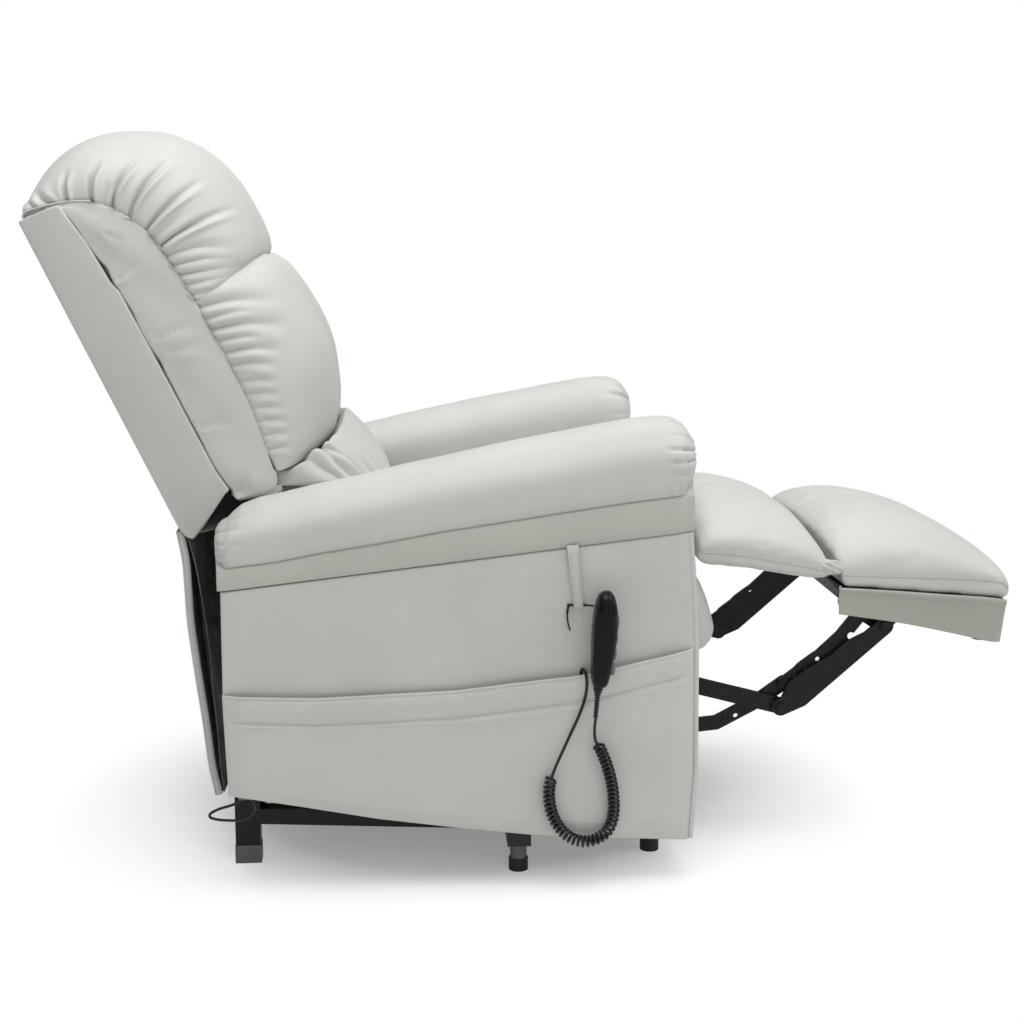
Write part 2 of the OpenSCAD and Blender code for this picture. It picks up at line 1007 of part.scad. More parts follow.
band_half = 256;
band_stations = [-256, -253, -244, -232, -212, -206, -160, -60, 60, 160, 206, 212, 232, 244, 253, 256];
function band_ring(y) =
    let (t = y / band_half, f = dome(t, 4, 2.0), d = abs(y) < 210 ? 1 : 0)
        [
            for (p = [
                [-372, 576], mix2([-368, 572], [-314, 590], f), mix2([-366, 571], [-302, 602], f),
                mix2([-364, 571], [-293, 618], f), mix2([-362, 570], [-284, 628], f),
                mix2([-361, 569], [-268, 613], f), mix2([-360, 567], [-246, 588], f),
                mix2([-360, 565], [-228, mix2(570, 560, d)], f), mix2([-360, 562], [-215, mix2(558, 534, d)], f),
                mix2([-362, 560], [-217, mix2(554, 518, d)], f), mix2([-368, 557], [-234, mix2(552, 508, d)], f),
                mix2([-380, 556], [-300, mix2(552, 506, d)], f), mix2([-395, 555], [-372, mix2(551, 506, d)], f),
                [-424, mix2(550, 520, d * f)], [-452, 566], [-461, 590]
            ])
                [p[0], y, p[1]]
        ];

module back_lower_band() {
    color(leather)
        placed()
            loft([for (y = band_stations) band_ring(y)]);
}

module rear_flap() {
    color(leather)
        placed()
            slab(-282, 282)
                polygon([
                    [-516, 492], [-517, 470], [-509, 399], [-494, 268], [-473, 119], [-470, 108],
                    [-463, 108], [-466, 120], [-486, 268], [-501, 399], [-508, 470], [-508, 492]
                ]);
}

module recline_motor() {
    color(plastic)
        placed()
            difference() {
                along(front_tube, recline_rod_pin, -70)
                    motor_body(300, -1);
                pin(front_tube, 25 + 2 * clear, -100, -40);
            }
}

module recline_rod() {
    color(bare_steel)
        placed()
            along(front_tube, recline_rod_pin, -70)
                push_rod(180, norm(recline_rod_pin - front_tube), 24);
}

// ------------------------------------------------------------------ footrest

module footrest_drive_links() {
    color(steel)
        placed() {
            both_sides() {
                slab(drive_y, drive_y + link_t)
                    union() {
                        bar([drive_pivot, long_pin], link_w + 3);
                        disc(drive_pivot, 30);
                    }
                pin(long_pin, rivet_d, drive_y + 2, 240.5);
                pin(long_pin, 15, 239, 241.5);
                pin(cross_pin, rivet_d, 217.6, drive_y + 2);
                pin(cross_pin, 15, 216.6, 219);
            }
            pin(drive_pivot, 22, -drive_y - 2, drive_y + 2);
            for (y = [56.4, 83.6])
                slab(y, y + 6)
                    difference() {
                        bar([drive_pivot, foot_rod_pin], 24);
                        disc(foot_rod_pin, 12);
                    }
        }
}

module footrest_rear_links() {
    color(steel)
        placed()
            both_sides() {
                slab(drive_y, drive_y + link_t)
                    difference() {
                        bar([rear_link_pivot, rear_link_end], link_w);
                        disc(rear_link_end, rivet_d + 7);
                    }
                pin(rear_link_pivot, 12, 204.4, drive_y + 2);
                pin(rear_link_pivot, 18, 203.4, 205.4);
            }
}

module footrest_cross_links() {
    color(steel)
        placed()
            both_sides() {
                slab(cross_y, cross_y + link_t - 0.5)
                    difference() {
                        bar([rear_link_end, [268, 183], cross_pin, short_pin], link_w);
                        disc(cross_pin, rivet_d + 2 * clear);
                        disc([297.2, 193.3], 7);
                    }
                pin(short_pin, rivet_d, cross_y + 2, 231.8);
                pin(short_pin, 15, 230.5, 232.8);
                pin(rear_link_end, rivet_d, cross_y + 2, 231.8);
                pin(rear_link_end, 19, 230.5, 232.8);
            }
}

module footrest_long_arms() {
    color(steel)
        placed()
            both_sides()
                slab(long_y, long_y + link_t)
                    difference() {
                        union() {
                            bar([long_pin, [392, 222], board_front_pin], 26);
                            polygon([
                                [362, 222], [372, 246], [398, 266], [436, 288], [458, 308],
                                [478, 318], [500, 328], [470, 292], [392, 222]
                            ]);
                        }
                        disc(long_pin, rivet_d + 2 * clear);
                        disc(board_front_pin, rivet_d + 2 * clear);
                    }
}

module footrest_short_arms() {
    color(steel)
        placed()
            both_sides()
                slab(drive_y, drive_y + link_t)
                    difference() {
                        union() {
                            bar([short_pin, [417.7, 279.9], [453, 313], board_rear_pin], link_w);
                            polygon([
                                [372, 256], [389, 274], [411, 290], [446, 309], [460, 303],
                                [463, 290], [452, 278], [424, 262], [396, 244], [380, 235]
                            ]);
                        }
                        disc(short_pin, rivet_d + 2 * clear);
                        disc([417.7, 279.9], 7);
                        disc([467.4, 314.6], 11);
                        disc(board_rear_pin, rivet_d + 7);
                    }
}

board_line = [[449, 389], [694, 367]];

module foot_board() {
    color(wood)
        placed()
            slab(-board_w / 2, board_w / 2)
                polygon([board_line[0], board_line[1], board_line[1] - [1, board_t], board_line[0] - [1, board_t]]);
}

module foot_brackets() {
    color(steel)
        placed()
            both_sides() {
                slab(cross_y, cross_y + link_t - 0.5)
                    union() {
                        polygon([[462, 369], [560, 361], [560, 352], [530, 326], [505, 322], [474, 342], [462, 358]]);
                        disc(board_front_pin, 24);
                        disc(board_rear_pin, 22);
                    }
                pin(board_front_pin, rivet_d, cross_y + 2, 240.5);
                pin(board_front_pin, 15, 238.8, 241.5);
                pin(board_rear_pin, rivet_d, cross_y + 2, 231.8);
                pin(board_rear_pin, 19, 230.5, 232.8);
            }
}

foot_half = 241;
foot_seam = [[445, 409], [470, 408], [535, 405], [600, 402], [660, 398], [696, 392], [703, 380]];
foot_crown = [[446, 424], [466, 462], [508, 484], [566, 482], [628, 462], [686, 428], [716, 392]];

function foot_ring(y) =
    let (t = y / foot_half, f = dome(t, 3.0, 2.0))
        [
            for (p = concat(
                [for (i = [0:9]) mix2(on_line(foot_seam, i / 9), on_line(foot_crown, i / 9), f)],
                [mix2([702, 372], [719, 368], f), mix2([695, 368.2], [707, 368.2], f), [694, 367.8], [449, 389.8], [446, 394]]
            ))
                [p[0], y, p[1]]
        ];

module foot_cushion() {
    color(leather)
        placed()
            loft([for (i = [-8:8]) foot_ring(foot_half * sin(11.25 * i))]);
}

module foot_valance() {
    color(leather)
        placed() {
            both_sides()
                slab(242.2, 244.2)
                    polygon([[446, 391], [447, 354], [539, 337], [615, 320], [670, 305], [688, 306], [696, 362]]);
            slab(-242, 242)
                polygon([[696, 362], [688, 306], [686, 306], [693, 349]]);
            both_sides()
                slab(236.2, 242)
                    polygon([[450, 388.8], [449, 374], [684, 352.6], [685, 367.2]]);
        }
}

module foot_bumpers() {
    color(plastic)
        placed()
            both_sides()
                translate([670, 214, 303])
                    cylinder(d = 22, h = 47);
}

leg_half = 240;
leg_seam = [[234, 444], [250, 446], [300, 440], [350, 431], [400, 421], [428, 416], [438, 411]];
leg_crown = [[238, 474], [256, 502], [300, 512], [350, 503], [396, 486], [426, 462], [441, 430]];

function leg_ring(y) =
    let (t = y / leg_half, f = dome(t, 3.0, 2.0))
        [
            for (p = concat(
                [for (i = [0:9]) mix2(on_line(leg_seam, i / 9), on_line(leg_crown, i / 9), f)],
                [[436, 406], [424, 402], [330, 418], [240, 434], [233, 438]]
            ))
                [p[0], y, p[1]]
        ];

module leg_pad() {
    color(leather)
        placed()
            loft([for (i = [-8:8]) leg_ring(leg_half * sin(11.25 * i))]);
}

module footrest_motor() {
    color(plastic)
        placed()
            difference() {
                along(rear_tube, foot_rod_pin, 73)
                    motor_body(330, -1);
                pin(rear_tube, 25 + 2 * clear, 40, 110);
            }
}

module footrest_rod() {
    color(bare_steel)
        placed()
            along(rear_tube, foot_rod_pin, 73)
                push_rod(180, norm(foot_rod_pin - rear_tube), 24);
}

base_side_rails();
base_cross_tubes();
base_rear_legs();
base_end_caps();
base_feet();
base_brackets();
lift_arms();
lift_rear_links();
lift_motor();
lift_rod();
seat_side_plates();
seat_cross_tubes();
seat_box();
seat_springs();
seat_cushion();
arm_frames();
arm_side_right();
arm_side_left();
arm_inner_panels();
arm_end_panels();
arm_pad_right();
arm_pad_left();
side_pocket();
handset_strap();
front_apron();
rear_lead();
handset_front();
handset_back();
handset_hook();
handset_relief();
handset_lead();
handset_coil();
handset_lead_end();
button_raise();
button_lower();
button_recline();
button_return();
back_frame();
back_brackets();
back_shell();
head_pillow();
lumbar_cushion();
back_lower_band();
rear_flap();
recline_motor();
recline_rod();
footrest_drive_links();
footrest_rear_links();
footrest_cross_links();
footrest_long_arms();
footrest_short_arms();
foot_board();
foot_brackets();
foot_cushion();
foot_valance();
foot_bumpers();
leg_pad();
footrest_motor();
footrest_rod();
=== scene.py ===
"""Dresses the lift recliner chair: covers, cushions, cords, finishes and the studio.

Sizes are millimetres in the chair's own side plane (X forward, Z up, Y out from the
middle plane) and become metres in the shared frame through at().
"""

import logging
import math
from dataclasses import dataclass
from enum import Enum
from typing import Callable, Dict, List, Optional, Sequence, Tuple

import bmesh
import bpy
import numpy as np
from mathutils import Matrix, Vector, noise
from mathutils.bvhtree import BVHTree

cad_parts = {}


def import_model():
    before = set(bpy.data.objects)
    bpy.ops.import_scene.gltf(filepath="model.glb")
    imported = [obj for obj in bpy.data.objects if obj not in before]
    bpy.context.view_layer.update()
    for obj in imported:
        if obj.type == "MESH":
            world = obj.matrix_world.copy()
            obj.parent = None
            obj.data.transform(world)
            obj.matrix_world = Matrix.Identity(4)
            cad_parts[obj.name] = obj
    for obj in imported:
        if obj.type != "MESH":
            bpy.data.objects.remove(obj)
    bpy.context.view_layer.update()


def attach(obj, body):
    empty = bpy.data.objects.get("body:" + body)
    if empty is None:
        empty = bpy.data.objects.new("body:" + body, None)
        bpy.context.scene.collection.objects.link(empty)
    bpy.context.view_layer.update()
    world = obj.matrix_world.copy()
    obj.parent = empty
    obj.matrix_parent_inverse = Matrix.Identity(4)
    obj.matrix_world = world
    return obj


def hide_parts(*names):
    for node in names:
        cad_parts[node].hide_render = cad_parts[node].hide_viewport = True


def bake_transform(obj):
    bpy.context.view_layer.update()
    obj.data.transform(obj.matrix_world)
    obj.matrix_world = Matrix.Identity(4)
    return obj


log = logging.getLogger("recliner")

Work = bmesh.types.BMesh
Pair = Tuple[float, float]
Triple = Tuple[float, float, float]
Field = Callable[[np.ndarray, np.ndarray, np.ndarray], np.ndarray]

MM = 1000  # millimetres in a metre
FAR = 1e9  # farther than any two points lie apart
FOLD_STEPS = 14  # straight parts that a fold's line is cut into
MID_Y = 29.0  # the chair's middle plane in the shared frame
HALF_W = 375.0  # from the middle plane to the side panels
GAP_HALF = 245.0  # from the middle plane to the arms' inner faces
BACK_HALF = 288.0  # from the middle plane to the box's sides
PILLOW_HALF = 272.0  # from the middle plane to the cushions' side seams
ROLL_MID = 312.0  # from the middle plane to an arm roll's middle


class Side(Enum):
    """Which side of the chair a piece belongs to, as the sign of its Y."""

    RIGHT = -1
    LEFT = 1

    @property
    def label(self) -> str:
        """How the names of pieces call it."""
        return self.name.lower()


# ------------------------------------------------------------------ measuring


def at(x: float, y: float, z: float) -> Vector:
    """Turns a place on the chair in millimetres into the shared frame in metres."""
    return Vector((x, y + MID_Y, z)) / MM


def mix(a: float, b: float, t: float) -> float:
    """Goes from a to b as t goes from 0 to 1."""
    return a + (b - a) * t


def dome(t: float, p: float, q: float) -> float:
    """Height of a crowned section at t, which runs from -1 to 1 across it."""
    return max(0.0, 1 - abs(t) ** p) ** (1 / q)


def ease(lo: float, hi: float, value: np.ndarray) -> np.ndarray:
    """Rises smoothly from 0 at lo to 1 at hi, or falls where hi is below lo."""
    t = np.clip((np.asarray(value, float) - lo) / (hi - lo), 0, 1)
    return t * t * (3 - 2 * t)


def curve_at(points: Sequence[Sequence[float]], s: float) -> List[float]:
    """Smooth curve through points, with s from 0 to 1 in equal steps per point.

    Args:
        points: the points that the curve passes through.
        s: how far along it.

    Returns:
        The coordinates at s.
    """
    last = len(points) - 1
    place = min(max(s, 0.0), 1.0) * last
    i = min(int(place), last - 1)
    t = place - i
    a, b, c, d = (points[max(i - 1, 0)], points[i], points[i + 1], points[min(i + 2, last)])
    return [
        0.5 * (2 * q + (r - p) * t + (2 * p - 5 * q + 4 * r - w) * t * t
               + (3 * q - p - 3 * r + w) * t ** 3)
        for p, q, r, w in zip(a, b, c, d)
    ]


def height_on(points: Sequence[Pair], x: float) -> float:
    """Height of a broken line at x, held level beyond its ends."""
    return float(np.interp(x, [p[0] for p in points], [p[1] for p in points]))


def even(n: int) -> List[float]:
    """Even steps from 0 to 1."""
    return [i / n for i in range(n + 1)]


def steps(n: int, edge: Sequence[float] = ()) -> List[float]:
    """Even steps from 0 to 1 with extra ones close to both ends.

    Args:
        n: how many even steps.
        edge: the extra distances from each end.

    Returns:
        The sorted steps.
    """
    return sorted(set(even(n)) | set(edge) | {1 - e for e in edge})


def seam_z(x: float) -> float:
    """Height of the seam under the arm's strip at x."""
    return 428 + 0.1144 * (x + 446)


# ------------------------------------------------------------------- meshing


def skin(us: Sequence[float], vs: Sequence[float], place: Callable[[float, float], Vector],
         closed: bool = False, capped: bool = False) -> Work:
    """Shapes a grid into a surface.

    Args:
        us: the steps along the surface.
        vs: the steps round or across it.
        place: gives the position at (u, v) in metres.
        closed: whether the last v meets the first.
        capped: whether open ends are filled.

    Returns:
        The shaped mesh.
    """
    bm = bmesh.new()
    bmesh.ops.create_grid(bm, x_segments=len(us) - 1, y_segments=len(vs) - 1, size=0.5)
    span = max(v.co.x for v in bm.verts)
    for v in bm.verts:
        i = round((v.co.x / span + 1) / 2 * (len(us) - 1))
        j = round((v.co.y / span + 1) / 2 * (len(vs) - 1))
        v.co = place(us[i], vs[j])
    if closed or capped:
        bmesh.ops.remove_doubles(bm, verts=bm.verts, dist=2e-6)
    if capped:
        bmesh.ops.holes_fill(bm, edges=[e for e in bm.edges if e.is_boundary], sides=0)
    bmesh.ops.recalc_face_normals(bm, faces=bm.faces)
    return bm


def relief(bm: Work, depth: Field) -> None:
    """Moves each point of a mesh along its normal.

    Args:
        bm: the mesh.
        depth: gives the movement in millimetres at (x, y, z) on the chair.
    """
    bm.normal_update()
    verts = list(bm.verts)
    co = np.array([v.co for v in verts]) * MM
    shift = depth(co[:, 0], co[:, 1] - MID_Y, co[:, 2]) / MM
    for v, d in zip(verts, shift):
        v.co += v.normal * float(d)


def waves(scale: float, seed: float) -> Field:
    """Slow unevenness of stuffed fabric, about -1 to 1.

    Args:
        scale: size of one wave in millimetres.
        seed: moves the pattern.

    Returns:
        The field.
    """
    def value(x: np.ndarray, y: np.ndarray, z: np.ndarray) -> np.ndarray:
        """Unevenness at each place.

        Args:
            x: places along the chair.
            y: distances from the middle plane.
            z: heights.

        Returns:
            The unevenness.
        """
        return np.array([
            noise.noise(Vector((a / scale + seed, b / scale, c / scale)))
            for a, b, c in zip(x, y, z)
        ])
    return value


@dataclass(frozen=True)
class Crease:
    """A fold in a cover that starts at a seam and runs out over the cushion."""

    path: Tuple[Pair, ...]
    depth: float = 4.0
    width: float = 3.0
    spread: float = 3.0
    swell: float = 0.4
    lean: float = 0.0
    start: float = 0.35

    def field(self, x: np.ndarray, z: np.ndarray) -> np.ndarray:
        """Depth of the fold in the side view, in millimetres, inwards negative.

        Args:
            x: places along the chair.
            z: heights.

        Returns:
            The movement at each place, in millimetres.
        """
        pts = np.array([curve_at(self.path, s) for s in even(FOLD_STEPS)])
        best = np.full(x.shape, FAR)
        side = np.zeros(x.shape)
        along = np.zeros(x.shape)
        for i in range(FOLD_STEPS):
            (ax, az), (bx, bz) = pts[i], pts[i + 1]
            dx, dz = bx - ax, bz - az
            size = dx * dx + dz * dz
            t = np.clip(((x - ax) * dx + (z - az) * dz) / size, 0, 1)
            ox, oz = x - ax - t * dx, z - az - t * dz
            dist = np.hypot(ox, oz)
            near = dist < best
            best = np.where(near, dist, best)
            side = np.where(near, np.sign(ox * dz - oz * dx), side)
            along = np.where(near, (i + t) / FOLD_STEPS, along)
        grow = (self.start + (1 - self.start) * ease(0, 0.12, along)) * ease(1.0, 0.45, along)
        wide = self.width * (1 + self.spread * along)
        r = best / wide
        keen = ease(1.0, 0.2, along)
        line = keen * np.exp(-1.6 * r) + (1 - keen) * np.exp(-r * r)
        lip = np.exp(-((r - 1.9) / 1.1) ** 2) * (self.swell + self.lean * side)
        return -self.depth * grow * (line - lip)


def creases(items: Sequence[Crease], inner: float, outer: float) -> Field:
    """Folds that show on both side faces and fade towards the middle.

    Args:
        items: the folds, drawn in the side view.
        inner: distance from the middle plane where they have faded.
        outer: distance where they are full.

    Returns:
        The field.
    """
    def value(x: np.ndarray, y: np.ndarray, z: np.ndarray) -> np.ndarray:
        """Depth of all folds at each place.

        Args:
            x: places along the chair.
            y: distances from the middle plane.
            z: heights.

        Returns:
            The movement at each place, in millimetres.
        """
        total = np.zeros(x.shape)
        for item in items:
            total += item.field(x, z)
        return total * ease(inner, outer, np.abs(y))
    return value


def seam_gap(seam: Sequence[Pair], n: int) -> Callable[[np.ndarray, np.ndarray], np.ndarray]:
    """Squared distance from a seam in the side view.

    Args:
        seam: side outline of the seam.
        n: how many parts it is cut into.

    Returns:
        The function of (x, z).
    """
    line = np.array([curve_at(seam, s) for s in even(n)])

    def value(x: np.ndarray, z: np.ndarray) -> np.ndarray:
        """Squared distance from each place.

        Args:
            x: places along the chair.
            z: heights.

        Returns:
            The squared distances.
        """
        near = np.full(x.shape, FAR)
        for px, pz in line:
            near = np.minimum(near, (x - px) ** 2 + (z - pz) ** 2)
        return near
    return value


def ruffle(bm: Work, scale: float, seed: float, depth: float) -> None:
    """Gives a mesh the slow unevenness of waves(), depth millimetres deep."""
    uneven = waves(scale, seed)
    relief(bm, lambda x, y, z: depth * uneven(x, y, z))


def tube(points: Sequence[Vector], radius: float, sides: int = 8) -> Work:
    """Round cord along points, closed at both ends.

    Args:
        points: the line it follows, in metres.
        radius: in metres.
        sides: faces round it.

    Returns:
        The mesh.
    """
    normal = Vector((0.01, 1, 0.02))
    frames = []
    for i, p in enumerate(points):
        way = (points[min(i + 1, len(points) - 1)] - points[max(i - 1, 0)]).normalized()
        normal = (normal - way * normal.dot(way)).normalized()
        frames.append((p, normal.copy(), way.cross(normal)))
    count = len(points) - 1

    def place(u: float, v: float) -> Vector:
        """Position on the cord.

        Args:
            u: share of the first way, from 0 to 1.
            v: share of the second way, from 0 to 1.

        Returns:
            The place in metres.
        """
        p, n, b = frames[round(u * count)]
        a = 2 * math.pi * v
        return p + radius * (math.cos(a) * n + math.sin(a) * b)

    return skin(even(count), even(sides), place, closed=True, capped=True)


def turned(bm: Work, centre: Vector, axis: Vector) -> Work:
    """Stands a shape that was made about Z at a place, with Z along axis.

    Args:
        bm: the shape.
        centre: where its origin goes, in metres.
        axis: the direction that its Z takes.

    Returns:
        The mesh.
    """
    turn = axis.to_track_quat("Z", "Y").to_matrix().to_4x4()
    bmesh.ops.transform(bm, matrix=Matrix.Translation(centre) @ turn, verts=bm.verts)
    return bm


def lathe(profile: Sequence[Pair], sides: int = 32) -> Work:
    """Spins a profile of (radius, height) pairs in millimetres about Z.

    Args:
        profile: the (radius, height) pairs.
        sides: how many faces lie round it.

    Returns:
        The mesh.
    """
    bm = bmesh.new()
    line = [bm.verts.new((r / MM, 0, h / MM)) for r, h in profile]
    for a, b in zip(line, line[1:]):
        bm.edges.new((a, b))
    bmesh.ops.spin(bm, geom=list(bm.verts) + list(bm.edges), cent=(0, 0, 0), axis=(0, 0, 1),
                   angle=2 * math.pi, steps=sides, use_merge=True)
    bmesh.ops.remove_doubles(bm, verts=bm.verts, dist=1e-6)
    bmesh.ops.recalc_face_normals(bm, faces=bm.faces)
    return bm


def baked(bm: Work, name: str) -> bpy.types.Mesh:
    """Turns a working mesh, which is used up, into mesh data.

    Args:
        bm: the mesh, which is used up.
        name: name of the mesh data.

    Returns:
        The mesh data.
    """
    mesh = bpy.data.meshes.new(name)
    bm.to_mesh(mesh)
    bm.free()
    return mesh


def placed(name: str, data: bpy.types.ID) -> bpy.types.Object:
    """Makes an object of its data and puts it into the scene.

    Args:
        name: name of the object.
        data: its mesh, curve, lamp or camera data.

    Returns:
        The object.
    """
    obj = bpy.data.objects.new(name, data)
    bpy.context.scene.collection.objects.link(obj)
    return obj


def applied(obj: bpy.types.Object) -> bpy.types.Mesh:
    """Mesh data of an object with its modifiers, which are then removed.

    Args:
        obj: the object.

    Returns:
        The mesh data.
    """
    graph = bpy.context.evaluated_depsgraph_get()
    mesh = bpy.data.meshes.new_from_object(obj.evaluated_get(graph))
    obj.modifiers.clear()
    return mesh


def merged(parts: Sequence[Work]) -> Work:
    """Puts several meshes into one.

    Args:
        parts: the meshes, which are used up.

    Returns:
        The mesh.
    """
    whole = bmesh.new()
    for part in parts:
        mesh = baked(part, "part")
        whole.from_mesh(mesh)
        bpy.data.meshes.remove(mesh)
    return whole


def mirrored(bm: Work) -> Work:
    """Copy of a mesh on the other side of the chair's middle plane.

    Args:
        bm: the mesh.

    Returns:
        The mesh.
    """
    other = bm.copy()
    for v in other.verts:
        v.co.y = 2 * MID_Y / MM - v.co.y
    bmesh.ops.reverse_faces(other, faces=other.faces)
    return other


# ------------------------------------------------------------------ finishes


class Bench:
    """Lays out the nodes of one material."""

    def __init__(self, name: str) -> None:
        """Starts a material called name.

        Args:
            name: name of the material.
        """
        self.material = bpy.data.materials.new(name)
        self.material.use_nodes = True
        self.tree = self.material.node_tree
        self.shader = self.tree.nodes["Principled BSDF"]
        self.coords = self.tree.nodes.new("ShaderNodeTexCoord")

    def add(self, kind: str, **values: object) -> bpy.types.Node:
        """Adds a node and sets its properties or sockets by name.

        Args:
            kind: the node's type without its prefix.
            values: properties, or sockets with spaces written as underscores.

        Returns:
            The node.
        """
        node = self.tree.nodes.new("ShaderNode" + kind)
        for key, value in values.items():
            if hasattr(node, key):
                setattr(node, key, value)
            else:
                node.inputs[key.replace("_", " ")].default_value = value
        return node

    def link(self, source: bpy.types.NodeSocket, target: bpy.types.NodeSocket) -> None:
        """Joins two sockets."""
        self.tree.links.new(source, target)

    def noise(self, scale: float, detail: float = 3.0, rough: float = 0.5) -> bpy.types.NodeSocket:
        """Noise on the object's own coordinates.

        Args:
            scale: fineness of the pattern.
            detail: how many finer layers it has.
            rough: how strong the finer layers are.

        Returns:
            The socket with the result.
        """
        node = self.add("TexNoise", Scale=scale, Detail=detail, Roughness=rough)
        self.link(self.coords.outputs["Object"], node.inputs["Vector"])
        return node.outputs["Fac"]

    def cells(self, scale: float) -> bpy.types.NodeSocket:
        """Distance to the nearest point of a cell pattern.

        Args:
            scale: fineness of the pattern.

        Returns:
            The socket with the result.
        """
        node = self.add("TexVoronoi", Scale=scale)
        self.link(self.coords.outputs["Object"], node.inputs["Vector"])
        return node.outputs["Distance"]

    def spread(self, source: bpy.types.NodeSocket, low: float, high: float,
               start: float = 0.3, end: float = 0.7) -> bpy.types.NodeSocket:
        """Maps a pattern to a range of values.

        Args:
            source: the socket with the pattern.
            low: the value at start.
            high: the value at end.
            start: the lower limit of the pattern.
            end: the upper limit of the pattern.

        Returns:
            The socket with the result.
        """
        node = self.add("MapRange")
        for key, value in (("From Min", start), ("From Max", end),
                           ("To Min", low), ("To Max", high)):
            node.inputs[key].default_value = value
        self.link(source, node.inputs["Value"])
        return node.outputs["Result"]

    def two_tone(self, source: bpy.types.NodeSocket, first: Triple, second: Triple,
                 start: float = 0.35, end: float = 0.65) -> bpy.types.NodeSocket:
        """Colours a pattern from first to second.

        Args:
            source: the socket with the pattern.
            first: the colour at start.
            second: the colour at end.
            start: the lower limit of the pattern.
            end: the upper limit of the pattern.

        Returns:
            The socket with the result.
        """
        ramp = self.add("ValToRGB")
        ramp.color_ramp.elements[0].position = start
        ramp.color_ramp.elements[1].position = end
        ramp.color_ramp.elements[0].color = (*first, 1)
        ramp.color_ramp.elements[1].color = (*second, 1)
        self.link(source, ramp.inputs["Fac"])
        return ramp.outputs["Color"]

    def bump(self, source: bpy.types.NodeSocket, distance: float, strength: float = 1.0,
             below: Optional[bpy.types.NodeSocket] = None) -> bpy.types.NodeSocket:
        """Raises a pattern by distance metres, over another bump if one is given.

        Args:
            source: the socket with the pattern.
            distance: the height in metres.
            strength: the share of it that shows.
            below: the bump that it lies on.

        Returns:
            The socket with the result.
        """
        node = self.add("Bump", Strength=strength, Distance=distance)
        self.link(source, node.inputs["Height"])
        if below is not None:
            self.link(below, node.inputs["Normal"])
        return node.outputs["Normal"]

    def wire(self, **sockets: bpy.types.NodeSocket) -> None:
        """Joins sources to the shader's sockets by name."""
        for key, source in sockets.items():
            self.link(source, self.shader.inputs[key.replace("_", " ")])

    def fix(self, **values: object) -> None:
        """Sets plain values on the shader's sockets by name."""
        for key, value in values.items():
            self.shader.inputs[key.replace("_", " ")].default_value = value


@dataclass(frozen=True)
class Finish:
    """What every finish has: its name and its record slot."""

    name: str
    slot: str

    def lay(self, bench: Bench) -> None:
        """Fills in the nodes."""
        raise NotImplementedError

    def material(self) -> bpy.types.Material:
        """The material, made once.

        Returns:
            The material.
        """
        known = bpy.data.materials.get(self.name)
        if known:
            return known
        bench = Bench(self.name)
        self.lay(bench)
        return bench.material


@dataclass(frozen=True)
class CoatedFabric(Finish):
    """Pale upholstery leather: fine pebble grain, soft satin gloss and faint mottling."""

    tone: Triple = (0.540, 0.534, 0.506)
    shade: Triple = (0.512, 0.504, 0.474)

    def lay(self, bench: Bench) -> None:
        """Mottled colour, pebbled grain over soft drawn creases.

        Args:
            bench: lays out the nodes of the material.
        """
        bench.wire(Base_Color=bench.two_tone(bench.noise(7.0, 4.0, 0.55), self.shade, self.tone),
                   Roughness=bench.spread(bench.noise(60.0, 3.0), 0.46, 0.56))
        soft = bench.bump(bench.noise(38.0, 3.0, 0.6), 0.0012, 0.16)
        pebble = bench.bump(bench.cells(950.0), 0.00022, 0.5, soft)
        fine = bench.bump(bench.noise(2600.0, 2.0), 0.00008, 0.5, pebble)
        bench.wire(Normal=fine)
        bench.fix(Specular_IOR_Level=0.36, Sheen_Weight=0.06, Sheen_Roughness=0.5)


@dataclass(frozen=True)
class WovenLining(Finish):
    """Dark non-woven lining with a slight shine."""

    tone: Triple = (0.030, 0.036, 0.034)
    shade: Triple = (0.016, 0.019, 0.018)
    gloss: float = 0.55

    def lay(self, bench: Bench) -> None:
        """Fibres across and along, with darker patches.

        Args:
            bench: lays out the nodes of the material.
        """
        bench.wire(Base_Color=bench.two_tone(bench.noise(30.0, 5.0), self.shade, self.tone))
        weave = bench.add("TexWave", Scale=260.0, Distortion=1.2, Detail=2.0)
        bench.link(bench.coords.outputs["Object"], weave.inputs["Vector"])
        bench.wire(Normal=bench.bump(weave.outputs["Fac"], 0.0003, 0.4))
        bench.fix(Roughness=self.gloss, Specular_IOR_Level=0.5)


@dataclass(frozen=True)
class PaintedSteel(Finish):
    """Black satin powder coat with fine orange peel and a little dust."""

    tone: Triple = (0.0058, 0.0062, 0.0072)
    dust: Triple = (0.0120, 0.0125, 0.0135)

    def lay(self, bench: Bench) -> None:
        """Peel in the gloss and pale dust in patches.

        Args:
            bench: lays out the nodes of the material.
        """
        patches = bench.two_tone(bench.noise(45.0, 5.0, 0.6), self.tone, self.dust, 0.5, 0.8)
        bench.wire(Base_Color=patches,
                   Roughness=bench.spread(bench.noise(120.0, 3.0), 0.34, 0.5),
                   Normal=bench.bump(bench.noise(900.0, 2.0), 0.00012, 0.35))
        bench.fix(Specular_IOR_Level=0.24)


@dataclass(frozen=True)
class PlatedSteel(Finish):
    """Bright zinc plate with faint drawing lines."""

    tone: Triple = (0.52, 0.53, 0.55)
    shade: Triple = (0.34, 0.35, 0.37)

    def lay(self, bench: Bench) -> None:
        """Clouded plate and fine scratches.

        Args:
            bench: lays out the nodes of the material.
        """
        bench.wire(Base_Color=bench.two_tone(bench.noise(70.0, 4.0), self.shade, self.tone),
                   Roughness=bench.spread(bench.noise(160.0, 4.0), 0.22, 0.42),
                   Normal=bench.bump(bench.noise(1500.0, 2.0), 0.00005, 0.3))
        bench.fix(Metallic=1.0)


